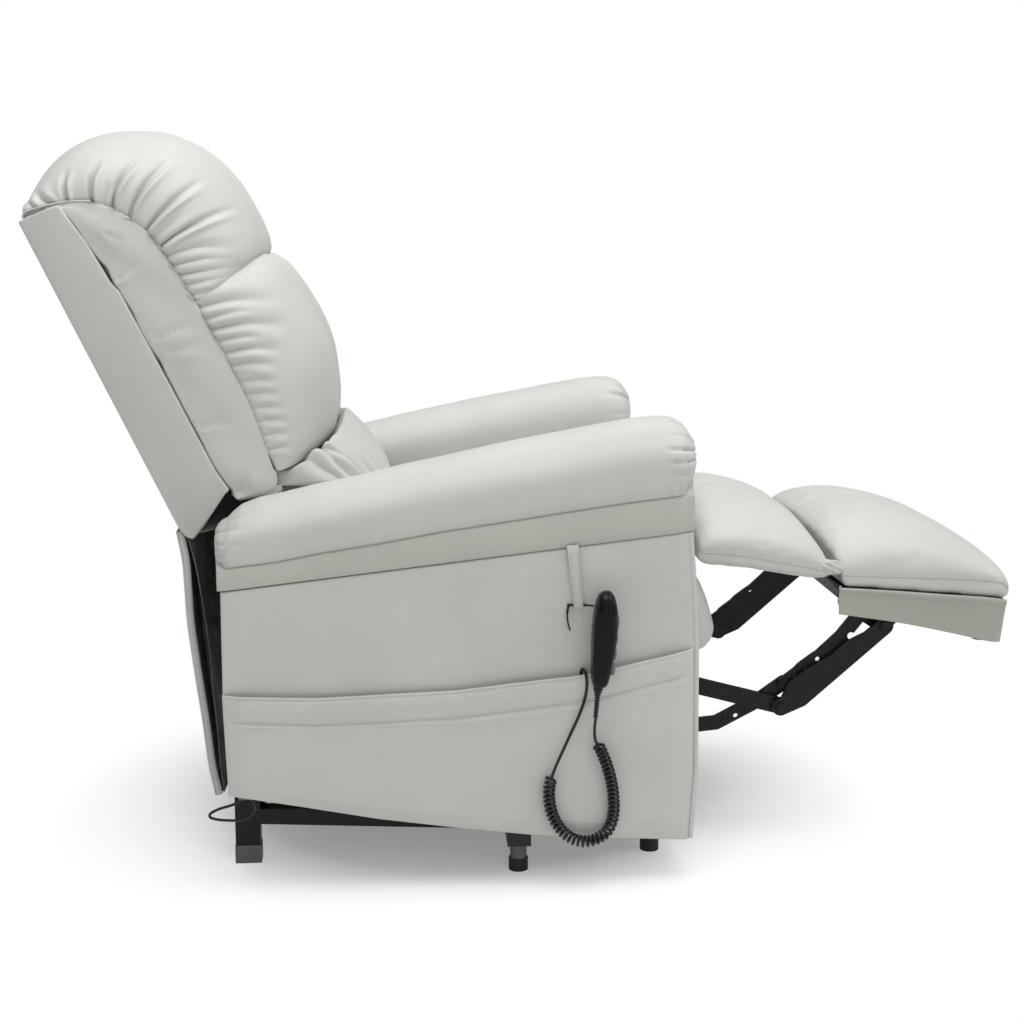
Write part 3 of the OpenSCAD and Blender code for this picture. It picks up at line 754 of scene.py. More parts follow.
@dataclass(frozen=True)
class Moulding(Finish):
    """Moulded plastic or rubber with a spark grain of a chosen gloss."""

    tone: Triple = (0.01, 0.01, 0.011)
    gloss: Pair = (0.3, 0.4)
    grain: float = 0.4
    coat: float = 0.0
    size: float = 1100.0
    shine: float = 0.4

    def lay(self, bench: Bench) -> None:
        """Even colour with slight clouding and a fine grain.

        Args:
            bench: lays out the nodes of the material.
        """
        lighter = tuple(min(1.0, c * 1.25 + 0.001) for c in self.tone)
        bench.wire(Base_Color=bench.two_tone(bench.noise(25.0, 4.0), self.tone, lighter),
                   Roughness=bench.spread(bench.noise(90.0, 3.0), *self.gloss),
                   Normal=bench.bump(bench.noise(self.size, 2.0), 0.0001, self.grain))
        bench.fix(Specular_IOR_Level=self.shine, Coat_Weight=self.coat, Coat_Roughness=0.12)


@dataclass(frozen=True)
class CappedTube(Moulding):
    """Grey moulded cap below a black painted collar."""

    collar: Triple = (0.007, 0.007, 0.008)
    height: float = 0.040

    def lay(self, bench: Bench) -> None:
        """Grained grey that changes to the collar's colour at a height.

        Args:
            bench: lays out the nodes of the material.
        """
        super().lay(bench)
        parts = bench.add("SeparateXYZ")
        bench.link(bench.coords.outputs["Object"], parts.inputs[0])
        above = bench.add("Math", operation="GREATER_THAN")
        above.inputs[1].default_value = self.height
        bench.link(parts.outputs["Z"], above.inputs[0])
        bench.wire(Base_Color=bench.two_tone(above.outputs[0], self.tone, self.collar, 0.4, 0.6))


@dataclass(frozen=True)
class Plywood(Finish):
    """Pale birch ply: long grain with darker streaks."""

    tone: Triple = (0.27, 0.20, 0.13)
    shade: Triple = (0.18, 0.125, 0.075)

    def lay(self, bench: Bench) -> None:
        """Grain drawn out along the board.

        Args:
            bench: lays out the nodes of the material.
        """
        turn = bench.add("Mapping")
        turn.inputs["Scale"].default_value = (4.0, 30.0, 30.0)
        bench.link(bench.coords.outputs["Object"], turn.inputs["Vector"])
        grain = bench.add("TexNoise", Scale=6.0, Detail=8.0, Roughness=0.65, Distortion=0.6)
        bench.link(turn.outputs["Vector"], grain.inputs["Vector"])
        bench.wire(Base_Color=bench.two_tone(grain.outputs["Fac"], self.shade, self.tone, 0.3, 0.7),
                   Normal=bench.bump(grain.outputs["Fac"], 0.0004, 0.3))
        bench.fix(Roughness=0.62)


LEATHER = CoatedFabric("pale_leather", "leather")
# Darker copy of the pale leather: painted shade for the arm strip under the roll's overhang and for
# the dark seam welts on the pads.
SHADE_PAINTED_LEATHER = CoatedFabric("strip_leather", "leather", (0.470, 0.470, 0.425), (0.44, 0.44, 0.398))
BOX_SIDE = CoatedFabric("box_leather", "leather", (0.515, 0.510, 0.480), (0.488, 0.482, 0.452))
# Darker copy of the pale leather: painted shade on the valance under the foot cushion.
SHADE_PAINTED_SKIRT = CoatedFabric("skirt_leather", "leather", (0.360, 0.360, 0.320), (0.335, 0.335, 0.297))
THREAD = Moulding("seam_thread", "leather", (0.44, 0.43, 0.40), (0.6, 0.75), grain=0.8, coat=0.0,
                  size=2400.0)
LINING = WovenLining("dark_lining", "leather", (0.200, 0.218, 0.205), (0.100, 0.112, 0.104),
                     gloss=0.6)
HOOK_TAPE = WovenLining("hook_tape", "leather", (0.012, 0.012, 0.013), (0.006, 0.006, 0.007),
                        gloss=0.9)
STEEL = PaintedSteel("black_satin_steel", "black_steel")
ZINC = PlatedSteel("zinc_plate", "zinc_steel")
GLOSS = Moulding("gloss_black_shell", "black_plastic", (0.0030, 0.0033, 0.0044), (0.22, 0.30),
                 grain=0.05,
                 shine=0.15)
GRAINED = Moulding("grained_black", "motor_plastic", (0.010, 0.010, 0.011), (0.42, 0.55), grain=0.6,
                   shine=0.3)
GREY_CAP = Moulding("grey_cap", "cap_grey", (0.115, 0.115, 0.12), (0.42, 0.55), grain=0.5)
COLLARED_CAP = CappedTube("grey_foot_cap", "cap_grey", (0.115, 0.115, 0.12), (0.42, 0.55),
                          grain=0.5)
GREY_BUTTON = Moulding("grey_button", "button_grey", (0.29, 0.29, 0.3), (0.4, 0.5), grain=0.3)
RUBBER = Moulding("black_rubber", "rubber", (0.012, 0.012, 0.012), (0.55, 0.7), grain=0.8)
JACKET = Moulding("cord_jacket", "cord_black", (0.006, 0.006, 0.0065), (0.26, 0.36), grain=0.2)
WOOD = Plywood("birch_ply", "wood")


def piece(bm: Work, name: str, finish: Finish, body: str,
          replaces: Sequence[str] = (),
          level: int = 0) -> bpy.types.Object:
    """Makes a finished piece of a mesh and hangs it on its body.

    Args:
        bm: the mesh, which is used up.
        name: the piece's name.
        finish: its main finish.
        body: the body that it moves with, or nothing to leave it on no body.
        replaces: the nodes that it stands for.
        level: rounds of subdivision.

    Returns:
        The object.
    """
    for face in bm.faces:
        face.smooth = True
    mesh = baked(bm, name)
    mesh.materials.append(finish.material())
    obj = placed(name, mesh)
    if level:
        sub = obj.modifiers.new("smooth", "SUBSURF")
        sub.levels = sub.render_levels = level
    if body:
        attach(obj, body)
    if replaces:
        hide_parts(*replaces)
    log.info("%s on %s, %d faces", name, body, len(mesh.polygons))
    return obj


def crisp(bm: Work, width: float, segments: int = 2) -> Work:
    """Rounds every sharp edge of a solid by width millimetres.

    Args:
        bm: the solid.
        width: radius of the edges in millimetres.
        segments: how many faces lie across an edge.

    Returns:
        The mesh.
    """
    bm.normal_update()
    sharp = [e for e in bm.edges if len(e.link_faces) == 2 and e.calc_face_angle(0) > 0.5]
    bmesh.ops.bevel(bm, geom=sharp, offset=width / MM, segments=segments, profile=0.5,
                    affect="EDGES", material=-1, clamp_overlap=True)
    return bm


def flat_solid(outline: Sequence[Pair], y0: float, y1: float,
               rounding: float = 1.5) -> Work:
    """Flat piece cut to a side outline, with rounded edges.

    Args:
        outline: the (x, z) corners.
        y0: its inner plane.
        y1: its outer plane.
        rounding: radius of the edges.

    Returns:
        The mesh.
    """
    bm = bmesh.new()
    face = bm.faces.new([bm.verts.new(at(x, y0, z)) for x, z in outline])
    grown = bmesh.ops.extrude_face_region(bm, geom=[face])
    moved = [g for g in grown["geom"] if isinstance(g, bmesh.types.BMVert)]
    bmesh.ops.translate(bm, verts=moved, vec=(0, (y1 - y0) / MM, 0))
    bmesh.ops.recalc_face_normals(bm, faces=bm.faces)
    return crisp(bm, rounding, segments=3) if rounding else bm


def rolled_panel(place: Callable[[float, float], Triple], width: float, height: float,
                 roll: float, out: Vector, thick: float, nu: int, nv: int,
                 edges: Tuple[bool, bool, bool, bool] = (True, True, True, True),
                 grooves: Sequence[float] = (), folds: Optional[Field] = None) -> Work:
    """Cover panel whose sewn edges roll inwards, so that panels meet in a seam.

    Args:
        place: gives (x, y, z) at (u, v).
        width: rough size along u.
        height: rough size along v.
        roll: radius of the rolled edge.
        out: the panel's outward direction.
        thick: thickness of the cover.
        nu: even steps along u.
        nv: even steps along v.
        edges: which of the edges u=0, u=1, v=0, v=1 roll.
        grooves: distances from the edge u=1 where the grid is made finer.
        folds: movement along the panel's normal before it gets its thickness.

    Returns:
        The mesh.
    """
    near = (0.0, 0.15, 0.4, 0.7, 1.0)
    us = steps(nu, [k * roll / width for k in near])
    close = (-3, -1.8, -0.8, 0, 0.8, 1.8, 3)
    us = sorted(set(us) | {1 - (g + k) / width for g in grooves for k in close})
    vs = steps(nv, [k * roll / height for k in near])

    def drop(distance: float) -> float:
        """How far the edge has rolled in at a distance from it."""
        k = min(1.0, max(0.0, distance / roll))
        return roll * (1 - math.sqrt(max(0.0, 1 - (1 - k) ** 2)))

    def shaped(u: float, v: float) -> Vector:
        """Position with the edges rolled in.

        Args:
            u: share of the first way, from 0 to 1.
            v: share of the second way, from 0 to 1.

        Returns:
            The place in metres.
        """
        gaps = (u * width, (1 - u) * width, v * height, (1 - v) * height)
        fall = max([drop(g) for g, on in zip(gaps, edges) if on] or [0.0])
        return at(*place(u, v)) - out * (fall / MM)

    bm = skin(us, vs, shaped)
    bm.normal_update()
    if sum((f.normal.dot(out) for f in bm.faces)) < 0:
        bmesh.ops.reverse_faces(bm, faces=bm.faces)
    if folds is not None:
        relief(bm, folds)
    bmesh.ops.solidify(bm, geom=bm.faces, thickness=thick / MM)
    bmesh.ops.recalc_face_normals(bm, faces=bm.faces)
    return bm


def stitches(line: Sequence[Vector], pitch: float, size: float, lift: Vector) -> Work:
    """Row of short thread stitches along a line.

    Args:
        line: the points of the line in metres.
        pitch: distance between stitches in millimetres.
        size: thickness of the thread in millimetres.
        lift: direction away from the fabric.

    Returns:
        The mesh.
    """
    runs = [0.0]
    for a, b in zip(line, line[1:]):
        runs.append(runs[-1] + (b - a).length * MM)
    whole = bmesh.new()
    for k in range(int(runs[-1] / pitch)):
        ends = []
        for s in (k * pitch + 0.12 * pitch, k * pitch + 0.82 * pitch):
            i = max(j for j in range(len(runs)) if runs[j] <= s)
            i = min(i, len(line) - 2)
            t = (s - runs[i]) / max(1e-6, runs[i + 1] - runs[i])
            ends.append(line[i].lerp(line[i + 1], t))
        way = ends[1] - ends[0]
        made = bmesh.ops.create_cube(whole, size=1.0)
        turn = Matrix((way.normalized(), lift.cross(way).normalized(), lift)).transposed().to_4x4()
        bmesh.ops.scale(whole, vec=(way.length, size / MM, size / 1400), verts=made["verts"])
        middle = Matrix.Translation((ends[0] + ends[1]) / 2)
        bmesh.ops.transform(whole, matrix=middle @ turn, verts=made["verts"])
    return whole


# ----------------------------------------------------------------- cords


@dataclass
class Cords:
    """The handset's curly lead and the short lead's loop behind the leg."""

    lead_d: float = 4.3
    curl_d: float = 17.6
    curls: int = 46
    per_curl: int = 16
    drop: Tuple[Triple, ...] = (
        (62.2, -409, 253.1), (61.4, -408.6, 245), (60.9, -407, 232), (62.34, -404.76, 219.33),
        (65, -404, 214))
    curled: Tuple[Triple, ...] = (
        (65, -404, 214), (72, -402, 200), (81, -400, 176), (88, -398, 146), (90, -397, 112),
        (83, -396, 86), (68, -396, 73), (50, -396, 69), (32, -396, 74), (16, -396, 88),
        (5, -396, 108), (0, -396, 130), (0, -396, 150), (4, -396, 166))
    rise: Tuple[Triple, ...] = (
        (4, -396, 166), (9, -396, 180), (18, -395, 200), (30, -393, 226), (42, -391, 252),
        (50, -389, 276), (52, -389, 294), (51, -389, 306), (49, -386, 313), (46, -381, 313),
        (45, -379, 306), (45, -379, 296))
    mains: Tuple[Triple, ...] = (
        (-428, -330, 125), (-430, -330, 119), (-442, -330, 112), (-460, -331, 107),
        (-473, -332, 101),
        (-474, -332, 95), (-464, -331, 91), (-450, -330, 89), (-434, -330, 89), (-420, -330, 94),
        (-411, -330, 103), (-412, -330, 113), (-416, -330, 120), (-416, -330, 125))

    def smooth(self, route: Sequence[Triple], n: int) -> List[Vector]:
        """Points of a smooth curve along a route, in metres."""
        return [at(*curve_at(route, s)) for s in even(n)]

    def curl(self) -> List[Vector]:
        """Centre line of the wound part, even along the loop's length.

        Returns:
            The points of the line in metres.
        """
        last = 400
        line = self.smooth(self.curled, last)
        normal = Vector((0, 1, 0.01))
        frames = []
        runs = [0.0]
        for i, p in enumerate(line):
            way = (line[min(i + 1, last)] - line[max(i - 1, 0)]).normalized()
            normal = (normal - way * normal.dot(way)).normalized()
            frames.append((normal.copy(), way.cross(normal)))
            if i:
                runs.append(runs[-1] + (p - line[i - 1]).length)
        radius = (self.curl_d - self.lead_d) / (2 * MM)
        total = self.curls * self.per_curl
        out = [line[0], line[0] + (at(7, 2, -14) - at(0, 0, 0)).normalized() * self.lead_d / MM]
        first = self.per_curl // 2
        for k in range(first, total - first + 1):
            u = k / total
            s = float(np.interp(u * runs[-1], runs, even(last)))
            n, b = frames[min(last, max(0, round(s * last)))]
            grow = min(1.0, min(u, 1 - u) * self.curls * 1.4)
            a = 2 * math.pi * self.curls * u
            round_it = math.cos(a) * n + math.sin(a) * b
            out.append(at(*curve_at(self.curled, s)) + radius * grow * round_it)
        out.append(line[-1] - (at(5, 0, 14) - at(0, 0, 0)).normalized() * self.lead_d / MM)
        out.append(line[-1])
        return out

    def lay(self, name: str, points: Sequence[Vector], thick: float) -> bpy.types.Object:
        """Round curve through points, as one open spline.

        Args:
            name: the piece's name.
            points: its line in metres.
            thick: its diameter in millimetres.

        Returns:
            The curve object.
        """
        data = bpy.data.curves.new(name, "CURVE")
        data.dimensions = "3D"
        data.bevel_depth = thick / (2 * MM)
        data.bevel_resolution = 3
        data.use_fill_caps = True
        spline = data.splines.new("POLY")
        spline.points.add(len(points) - 1)
        for point, p in zip(spline.points, points):
            point.co = (*p, 1)
        data.materials.append(JACKET.material())
        obj = placed(name, data)
        return obj

    def length(self, points: Sequence[Vector]) -> float:
        """Length of a line in metres."""
        return sum((b - a).length for a, b in zip(points, points[1:]))

    def build(self) -> None:
        """Makes both cords."""
        line = self.smooth(self.drop, 14)[:-1] + self.curl() + self.smooth(self.rise, 36)[1:]
        lead = self.lay("curly_lead", line, self.lead_d)
        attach(lead, "chair")
        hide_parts("handset_lead", "handset_coil", "handset_lead_end")
        tuple(line[0])
        round(self.length(line), 3)
        loop = self.smooth(self.mains, 40)
        mains = self.lay("mains_lead_loop", loop, thick=4.0)
        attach(mains, "chair")
        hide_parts("rear_lead")
        round(self.length(loop), 3)
        log.info("lead %.3f m, loop %.3f m", self.length(line), self.length(loop))


# ------------------------------------------------------------------- back


@dataclass
class BackRest:
    """Box, side gussets, head pillow, lumbar cushion and lower band of the back."""

    seam: Tuple[Pair, ...] = (
        (-704, 926), (-700, 934), (-676, 942), (-645, 948), (-613, 949), (-584, 940), (-562, 927),
        (-542, 911), (-523, 890), (-510, 869), (-498, 850), (-488, 832), (-478, 815))
    crown: Tuple[Pair, ...] = (
        (-706, 936), (-708, 960), (-690, 1002), (-656, 1035), (-612, 1052), (-566, 1055),
        (-525, 1050),
        (-486, 1031), (-450, 998), (-422, 956), (-403, 915), (-397, 885), (-407, 862))
    lower_seam: Tuple[Pair, ...] = (
        (-477, 811), (-460, 780), (-444, 751), (-428, 718), (-413, 685), (-401, 655), (-391, 626),
        (-382, 600), (-374, 578))
    lower_crown: Tuple[Pair, ...] = (
        (-414, 870), (-393, 877), (-367, 860), (-337, 819), (-313, 775), (-298, 735), (-292, 690),
        (-291, 648), (-297, 612), (-318, 592))
    gap_line: Tuple[Pair, ...] = (
        (-672, 931), (-654, 935), (-625, 893), (-594, 842), (-581, 820), (-535, 728), (-497, 652),
        (-466, 590), (-441, 548))
    box: Tuple[Pair, ...] = (
        (-708, 922), (-680, 935), (-654, 944), (-620, 896), (-590, 842), (-578, 829), (-531, 734),
        (-457, 583), (-438, 554), (-444, 549), (-461, 524), (-490, 485), (-500, 489), (-510, 502))
    pleats: Tuple[Crease, ...] = (
        Crease(((-643, 945), (-648, 960), (-650, 976), (-646, 996)),
               7.0, 2.6, 0.8, 0.35, 0.25, 0.7),
        Crease(((-612, 946), (-614, 964), (-612, 984), (-602, 1012)),
               9.0, 2.8, 0.8, 0.35, 0.30, 0.7),
        Crease(((-585, 940), (-582, 960), (-571, 986), (-552, 1014)),
               9.5, 2.8, 0.8, 0.35, 0.30, 0.65),
        Crease(((-563, 928), (-555, 950), (-538, 978), (-508, 1014)),
               10.0, 2.8, 0.9, 0.35, 0.30, 0.65),
        Crease(((-542, 910), (-524, 932), (-500, 956), (-466, 984)),
               9.5, 2.8, 1.0, 0.35, 0.30, 0.65),
        Crease(((-523, 888), (-500, 906), (-466, 926), (-424, 946)),
               9.5, 2.8, 1.0, 0.35, 0.30, 0.65))
    gathers: Tuple[Crease, ...] = (
        Crease(((-662, 944), (-678, 951), (-692, 966)), 4.0, 3.2, 1.2, 0.5, 0.0, 0.8),
        Crease(((-688, 940), (-698, 948), (-704, 960)), 2.6, 3.0, 1.0, 0.5, 0.0, 0.8),
        Crease(((-598, 947), (-588, 976)), 2.6, 2.8, 1.5),
        Crease(((-532, 900), (-506, 920), (-486, 940)), 2.6, 2.8, 1.5),
        Crease(((-513, 877), (-470, 888), (-418, 886)), 4.6, 4.2, 1.2, 0.5, 0.2, 0.85),
        Crease(((-508, 864), (-462, 872), (-412, 870)), 4.2, 4.0, 1.2, 0.5, 0.2, 0.85),
        Crease(((-500, 851), (-456, 857), (-404, 862)), 4.8, 4.0, 1.2, 0.5, 0.2, 0.85),
        Crease(((-494, 838), (-460, 843), (-412, 852)), 3.6, 3.6, 1.0, 0.5, 0.2, 0.85),
        Crease(((-484, 824), (-456, 830), (-428, 842)), 2.4, 3.0, 1.0, 0.5, 0.0, 0.85))
    lower_gathers: Tuple[Crease, ...] = (
        Crease(((-473, 807), (-425, 816), (-362, 812)), 5.4, 4.6, 1.3, 0.5, 0.2, 0.9),
        Crease(((-464, 792), (-420, 800), (-372, 796)), 4.0, 4.0, 1.0, 0.5, 0.2, 0.9),
        Crease(((-456, 777), (-405, 784), (-348, 777)), 5.2, 4.6, 1.3, 0.5, 0.2, 0.9),
        Crease(((-448, 762), (-410, 766), (-374, 760)), 3.6, 3.8, 1.0, 0.5, 0.2, 0.9),
        Crease(((-439, 745), (-400, 750), (-360, 742)), 4.4, 4.0, 1.0, 0.5, 0.2, 0.9),
        Crease(((-430, 727), (-396, 730), (-366, 724)), 3.2, 3.6, 1.0, 0.5, 0.2, 0.9),
        Crease(((-420, 704), (-392, 706), (-368, 700)), 2.2, 3.2, 1.0, 0.5, 0.0, 0.9),
        Crease(((-412, 686), (-386, 688), (-366, 682)), 2.2, 3.2, 1.0, 0.5, 0.0, 0.9),
        Crease(((-404, 667), (-380, 668), (-362, 663)), 2.0, 3.0, 1.0, 0.5, 0.0, 0.9),
        Crease(((-397, 648), (-374, 650), (-356, 645)), 2.0, 3.0, 1.0, 0.5, 0.0, 0.9),
        Crease(((-390, 628), (-370, 631), (-354, 628)), 1.8, 3.0, 1.0, 0.5, 0.0, 0.9),
        Crease(((-384, 608), (-366, 611), (-350, 610)), 1.8, 3.0, 1.0, 0.5, 0.0, 0.9))
    tuck: Tuple[Tuple[float, ...], ...] = (
        (-372, -372, 576, 576, 576), (-368, -314, 572, 590, 590), (-366, -302, 571, 602, 602),
        (-364, -293, 571, 616, 616), (-362, -283, 570, 625, 625), (-361, -267, 569, 612, 612),
        (-360, -246, 567, 588, 588), (-360, -228, 565, 570, 560), (-360, -215, 562, 558, 534),
        (-362, -217, 560, 554, 518), (-368, -234, 557, 552, 508), (-380, -300, 556, 552, 506),
        (-395, -372, 555, 551, 506), (-424, -424, 550, 550, 520), (-452, -452, 566, 566, 566),
        (-461, -461, 590, 590, 590), (-372, -372, 576, 576, 576))

    def crowned(self, seam: Sequence[Pair], crown: Sequence[Pair], back: Sequence[Pair],
                dip: float, along: int, across: int) -> Work:
        """Crowned cushion between its side seams.

        Args:
            seam: side outline of the seam.
            crown: side outline of the middle.
            back: hidden points that close the section.
            dip: share by which the middle sinks.
            along: steps along the seam.
            across: steps from side to side.

        Returns:
            The closed mesh.
        """
        total = along + len(back) + 1

        def place(u: float, v: float) -> Vector:
            """Position at u from side to side and v round the section.

            Args:
                u: share of the first way, from 0 to 1.
                v: share of the second way, from 0 to 1.

            Returns:
                The place in metres.
            """
            t = math.sin((u - 0.5) * math.pi)
            y = t * PILLOW_HALF
            f = dome(t, 2.8, 2.0) * (1 - dip * math.exp(-abs(y / 30) ** 1.5))
            j = round(v * total) % total
            if j <= along:
                s = j / along
                a, b = curve_at(seam, s), curve_at(crown, s)
                edge = 1 - 0.035 * (max(0.0, 1 - s / 0.03) ** 2 + max(0.0, 1 - (1 - s) / 0.03) ** 2)
                x, z = (mix(a[k], b[k], f * edge) for k in (0, 1))
            else:
                x, z = back[j - along - 1]
            return at(x, y, z)

        return skin(even(across), even(total), place, closed=True, capped=True)

    def seam_dip(self, seam: Sequence[Pair], depth: float, wide: float) -> Field:
        """Groove along a side seam.

        Args:
            seam: side outline of the seam.
            depth: of the groove.
            wide: of the groove.

        Returns:
            The field.
        """
        gap = seam_gap(seam, n=90)
        return lambda x, y, z: -depth * np.exp(-gap(x, z) / wide ** 2) * ease(200, 255, np.abs(y))

    def pillow(self) -> None:
        """Head pillow with its deep pleats."""
        back = ((-560, 787), (-590, 845), (-620, 899), (-653, 943), (-680, 938))
        bm = self.crowned(self.seam, self.crown, back, dip=0.14, along=400, across=170)
        relief(bm, creases(self.pleats, inner=95, outer=190))
        relief(bm, creases(self.gathers, inner=130, outer=215))
        relief(bm, self.seam_dip(self.seam, depth=2.4, wide=2.2))
        ruffle(bm, scale=70, seed=3.1, depth=1.6)
        piece(bm, "head_pillow_cover", LEATHER, "back", ["head_pillow"])

    def lumbar(self) -> None:
        """Lumbar cushion with fine gathers along its side seams."""
        back = ((-464, 592), (-529, 734), (-558, 783))
        bm = self.crowned(self.lower_seam, self.lower_crown, back, dip=0.11, along=300, across=150)
        relief(bm, creases(self.lower_gathers, inner=150, outer=225))
        relief(bm, self.seam_dip(self.lower_seam, depth=2.4, wide=2.2))
        ruffle(bm, scale=80, seed=8.4, depth=1.8)
        piece(bm, "lumbar_cover", LEATHER, "back", ["lumbar_cushion"])

    def gusset(self, side: Side) -> None:
        """Panel between the cushions' side seam and the box.

        Args:
            side: which side of the back it is on.
        """
        front = [*self.seam[2:], *self.lower_seam[1:], (-373, 560), (-380, 545), (-392, 536.5)]
        back = [*self.gap_line, (-436, 541), (-424, 536)]

        def place(u: float, v: float) -> Triple:
            """Position from the top down and from the seam to the gap.

            Args:
                u: share of the first way, from 0 to 1.
                v: share of the second way, from 0 to 1.

            Returns:
                The place as (x, y, z) in millimetres.
            """
            a, b = curve_at(front, u), curve_at(back, u)
            thin = min(1.0, 5 * u + 0.2)
            pinch = sum(math.exp(-((u - at_u) / 0.016) ** 2) for at_u in (0.27, 0.43, 0.50, 0.80))
            start = 0.905 - 0.008 * math.sin(23 * u + 1.0) - 0.006 * math.sin(51 * u) - 0.03 * pinch
            puff = 12.0 * (1 - (1 - v) ** 2.4) * thin
            tuck = 26.0 * max(0.0, (v - start) / 0.095) ** 1.5 * thin
            wave = 1.2 * math.exp(-((v - 0.8) / 0.2) ** 2) * (
                math.sin(19 * u + 1.2) + 0.8 * math.sin(43 * u + 0.4)) * thin
            sag = 1.3 * math.sin(21 * u + 6 * v) * 4 * v * (1 - v)
            sag -= 34.0 * max(0.0, (u - 0.91) / 0.09) ** 2
            return (mix(a[0], b[0], v), side.value * (PILLOW_HALF - 0.5 + puff + wave + sag - tuck),
                    mix(a[1], b[1], v))

        out = Vector((0, side.value, 0))
        tucks = (Crease(((-578, 845), (-566, 857), (-552, 872)), 2.4, 3.0, 1.6, 0.3, 0.1, 0.9),
                 Crease(((-532, 766), (-505, 776), (-472, 788)), 2.4, 3.2, 1.8, 0.3, 0.1, 0.9),
                 Crease(((-516, 747), (-490, 752), (-462, 760)), 2.2, 3.4, 1.8, 0.3, 0.1, 0.9),
                 Crease(((-474, 642), (-452, 648), (-430, 652)), 2.0, 3.0, 1.8, 0.3, 0.1, 0.9),
                 Crease(((-592, 905), (-580, 900), (-566, 892)), 1.4, 3.4, 1.8, 0.3, 0.0, 0.9))
        bm = rolled_panel(place, width=520, height=90, roll=2.2, out=out, thick=2.0, nu=220, nv=60,
                          edges=(True, True, True, False),
                          folds=creases(tucks, inner=120, outer=200))
        piece(bm, f"back_gusset_{side.label}", LEATHER, "back", ())

    def under_gusset(self, side: Side) -> None:
        """Small tucked piece under the gusset.

        Args:
            side: which side of the back it is on.
        """
        top = ((-396, 540), (-388, 548), (-379, 554), (-373, 557), (-368, 558))
        low = ((-402, 535), (-391, 535.5), (-381, 537.5), (-373, 542), (-367, 548))

        def place(u: float, v: float) -> Triple:
            """Position from the rear forward and from the seam down and in.

            Args:
                u: share of the first way, from 0 to 1.
                v: share of the second way, from 0 to 1.

            Returns:
                The place as (x, y, z) in millimetres.
            """
            a, b = curve_at(top, u), curve_at(low, u)
            turn = 0.5 * math.pi * min(1.0, v / 0.62)
            under = max(0.0, v - 0.62) / 0.38
            out = PILLOW_HALF + 1 + 7 * math.sin(turn * 0.7) - 12 * (1 - math.cos(turn))
            out = out - 40 * under - 16 * u ** 2
            fold = 1.6 * math.sin(26 * u) * math.sin(math.pi * min(1.0, v / 0.62))
            return (mix(a[0], b[0], math.sin(turn)), side.value * out,
                    mix(a[1], b[1], math.sin(turn)) + fold + 6.0 * under)

        bm = rolled_panel(place, width=90, height=50, roll=1.4, out=Vector((0, side.value, 0)),
                          thick=2.0, nu=60, nv=34)
        piece(bm, f"under_gusset_{side.label}", LEATHER, "back", ())

    def band(self) -> None:
        """Lower band that is gathered in under the lumbar cushion.

        A row of tuck holds x at the ends and in the middle, then z at the ends, near the ends
        and in the middle.
        """
        half = 256.0
        total = 160

        def place(u: float, v: float) -> Vector:
            """Position at u from side to side and v round the section.

            Args:
                u: share of the first way, from 0 to 1.
                v: share of the second way, from 0 to 1.

            Returns:
                The place in metres.
            """
            t = math.sin((u - 0.5) * math.pi)
            y = t * half
            f = dome(t, 4, 2.0)
            d = float(ease(222, 204, abs(y)))
            ring = [(mix(x0, x1, f), mix(z0, mix(z1, z2, d), f))
                    for x0, x1, z0, z1, z2 in self.tuck]
            x, z = curve_at(ring, v)
            return at(x, y, z)

        bm = skin(even(240), even(total), place, closed=True, capped=True)
        uneven = waves(scale=60, seed=4.4)

        def folds(x: np.ndarray, y: np.ndarray, z: np.ndarray) -> np.ndarray:
            """Deep upright gathers at both ends and shallow ones between.

            Args:
                x: places along the chair.
                y: distances from the middle plane.
                z: heights.

            Returns:
                The movement at each place, in millimetres.
            """
            a = np.abs(y)
            total_depth = np.zeros(x.shape)
            gathers = ((238, 4.0, 5.0), (216, 9.0, 5.5), (196, 5.5, 6.0), (172, 3.0, 9.0),
                       (120, 2.2, 12.0))
            for k, (spot, deep, wide) in enumerate(gathers):
                line = spot + (z - 560) * (0.10 + 0.16 * k) + 4 * np.sin(z / 15 + 2 * k)
                r = np.abs(a - line) / wide
                total_depth -= deep * (np.exp(-r) - 0.4 * np.exp(-((r - 2.2) / 1.2) ** 2))
            return total_depth * ease(-368, -330, x) * ease(650, 600, z) + 1.6 * uneven(x, y, z)
        relief(bm, folds)
        piece(bm, "lower_band_cover", LEATHER, "back", ["back_lower_band"])

    def shell(self) -> None:
        """Box of the back: two side boards, the rear panel and the top."""
        parts = []
        for side in Side:
            planes = sorted((side.value * (BACK_HALF - 16), side.value * BACK_HALF))
            parts.append(flat_solid(self.box, *planes, 3.2))
        inner = BACK_HALF - 17
        top_rear, low_rear = (-708, 922), (-510, 502)

        def rear_panel(u: float, v: float) -> Triple:
            """Position from side to side and from the top down.

            Args:
                u: share of the first way, from 0 to 1.
                v: share of the second way, from 0 to 1.

            Returns:
                The place as (x, y, z) in millimetres.
            """
            puff = 3.5 * (16 * u * (1 - u) * v * (1 - v)) ** 0.5
            x, z = (mix(a, b, v) for a, b in zip(top_rear, low_rear))
            return (x - 0.905 * puff + 1.2, mix(-inner, inner, u), z - 0.426 * puff)

        def wrapped(line: Sequence[Pair], drop: float) -> Callable[[float, float], Triple]:
            """Panel from side to side along a line of the side view.

            Args:
                line: side outline of the panel.
                drop: how far the panel is lowered.

            Returns:
                The function that places it.
            """
            def place(u: float, v: float) -> Triple:
                """Position from side to side and along the line."""
                x, z = curve_at(line, v)
                return (x, mix(-inner, inner, u), z - drop)
            return place

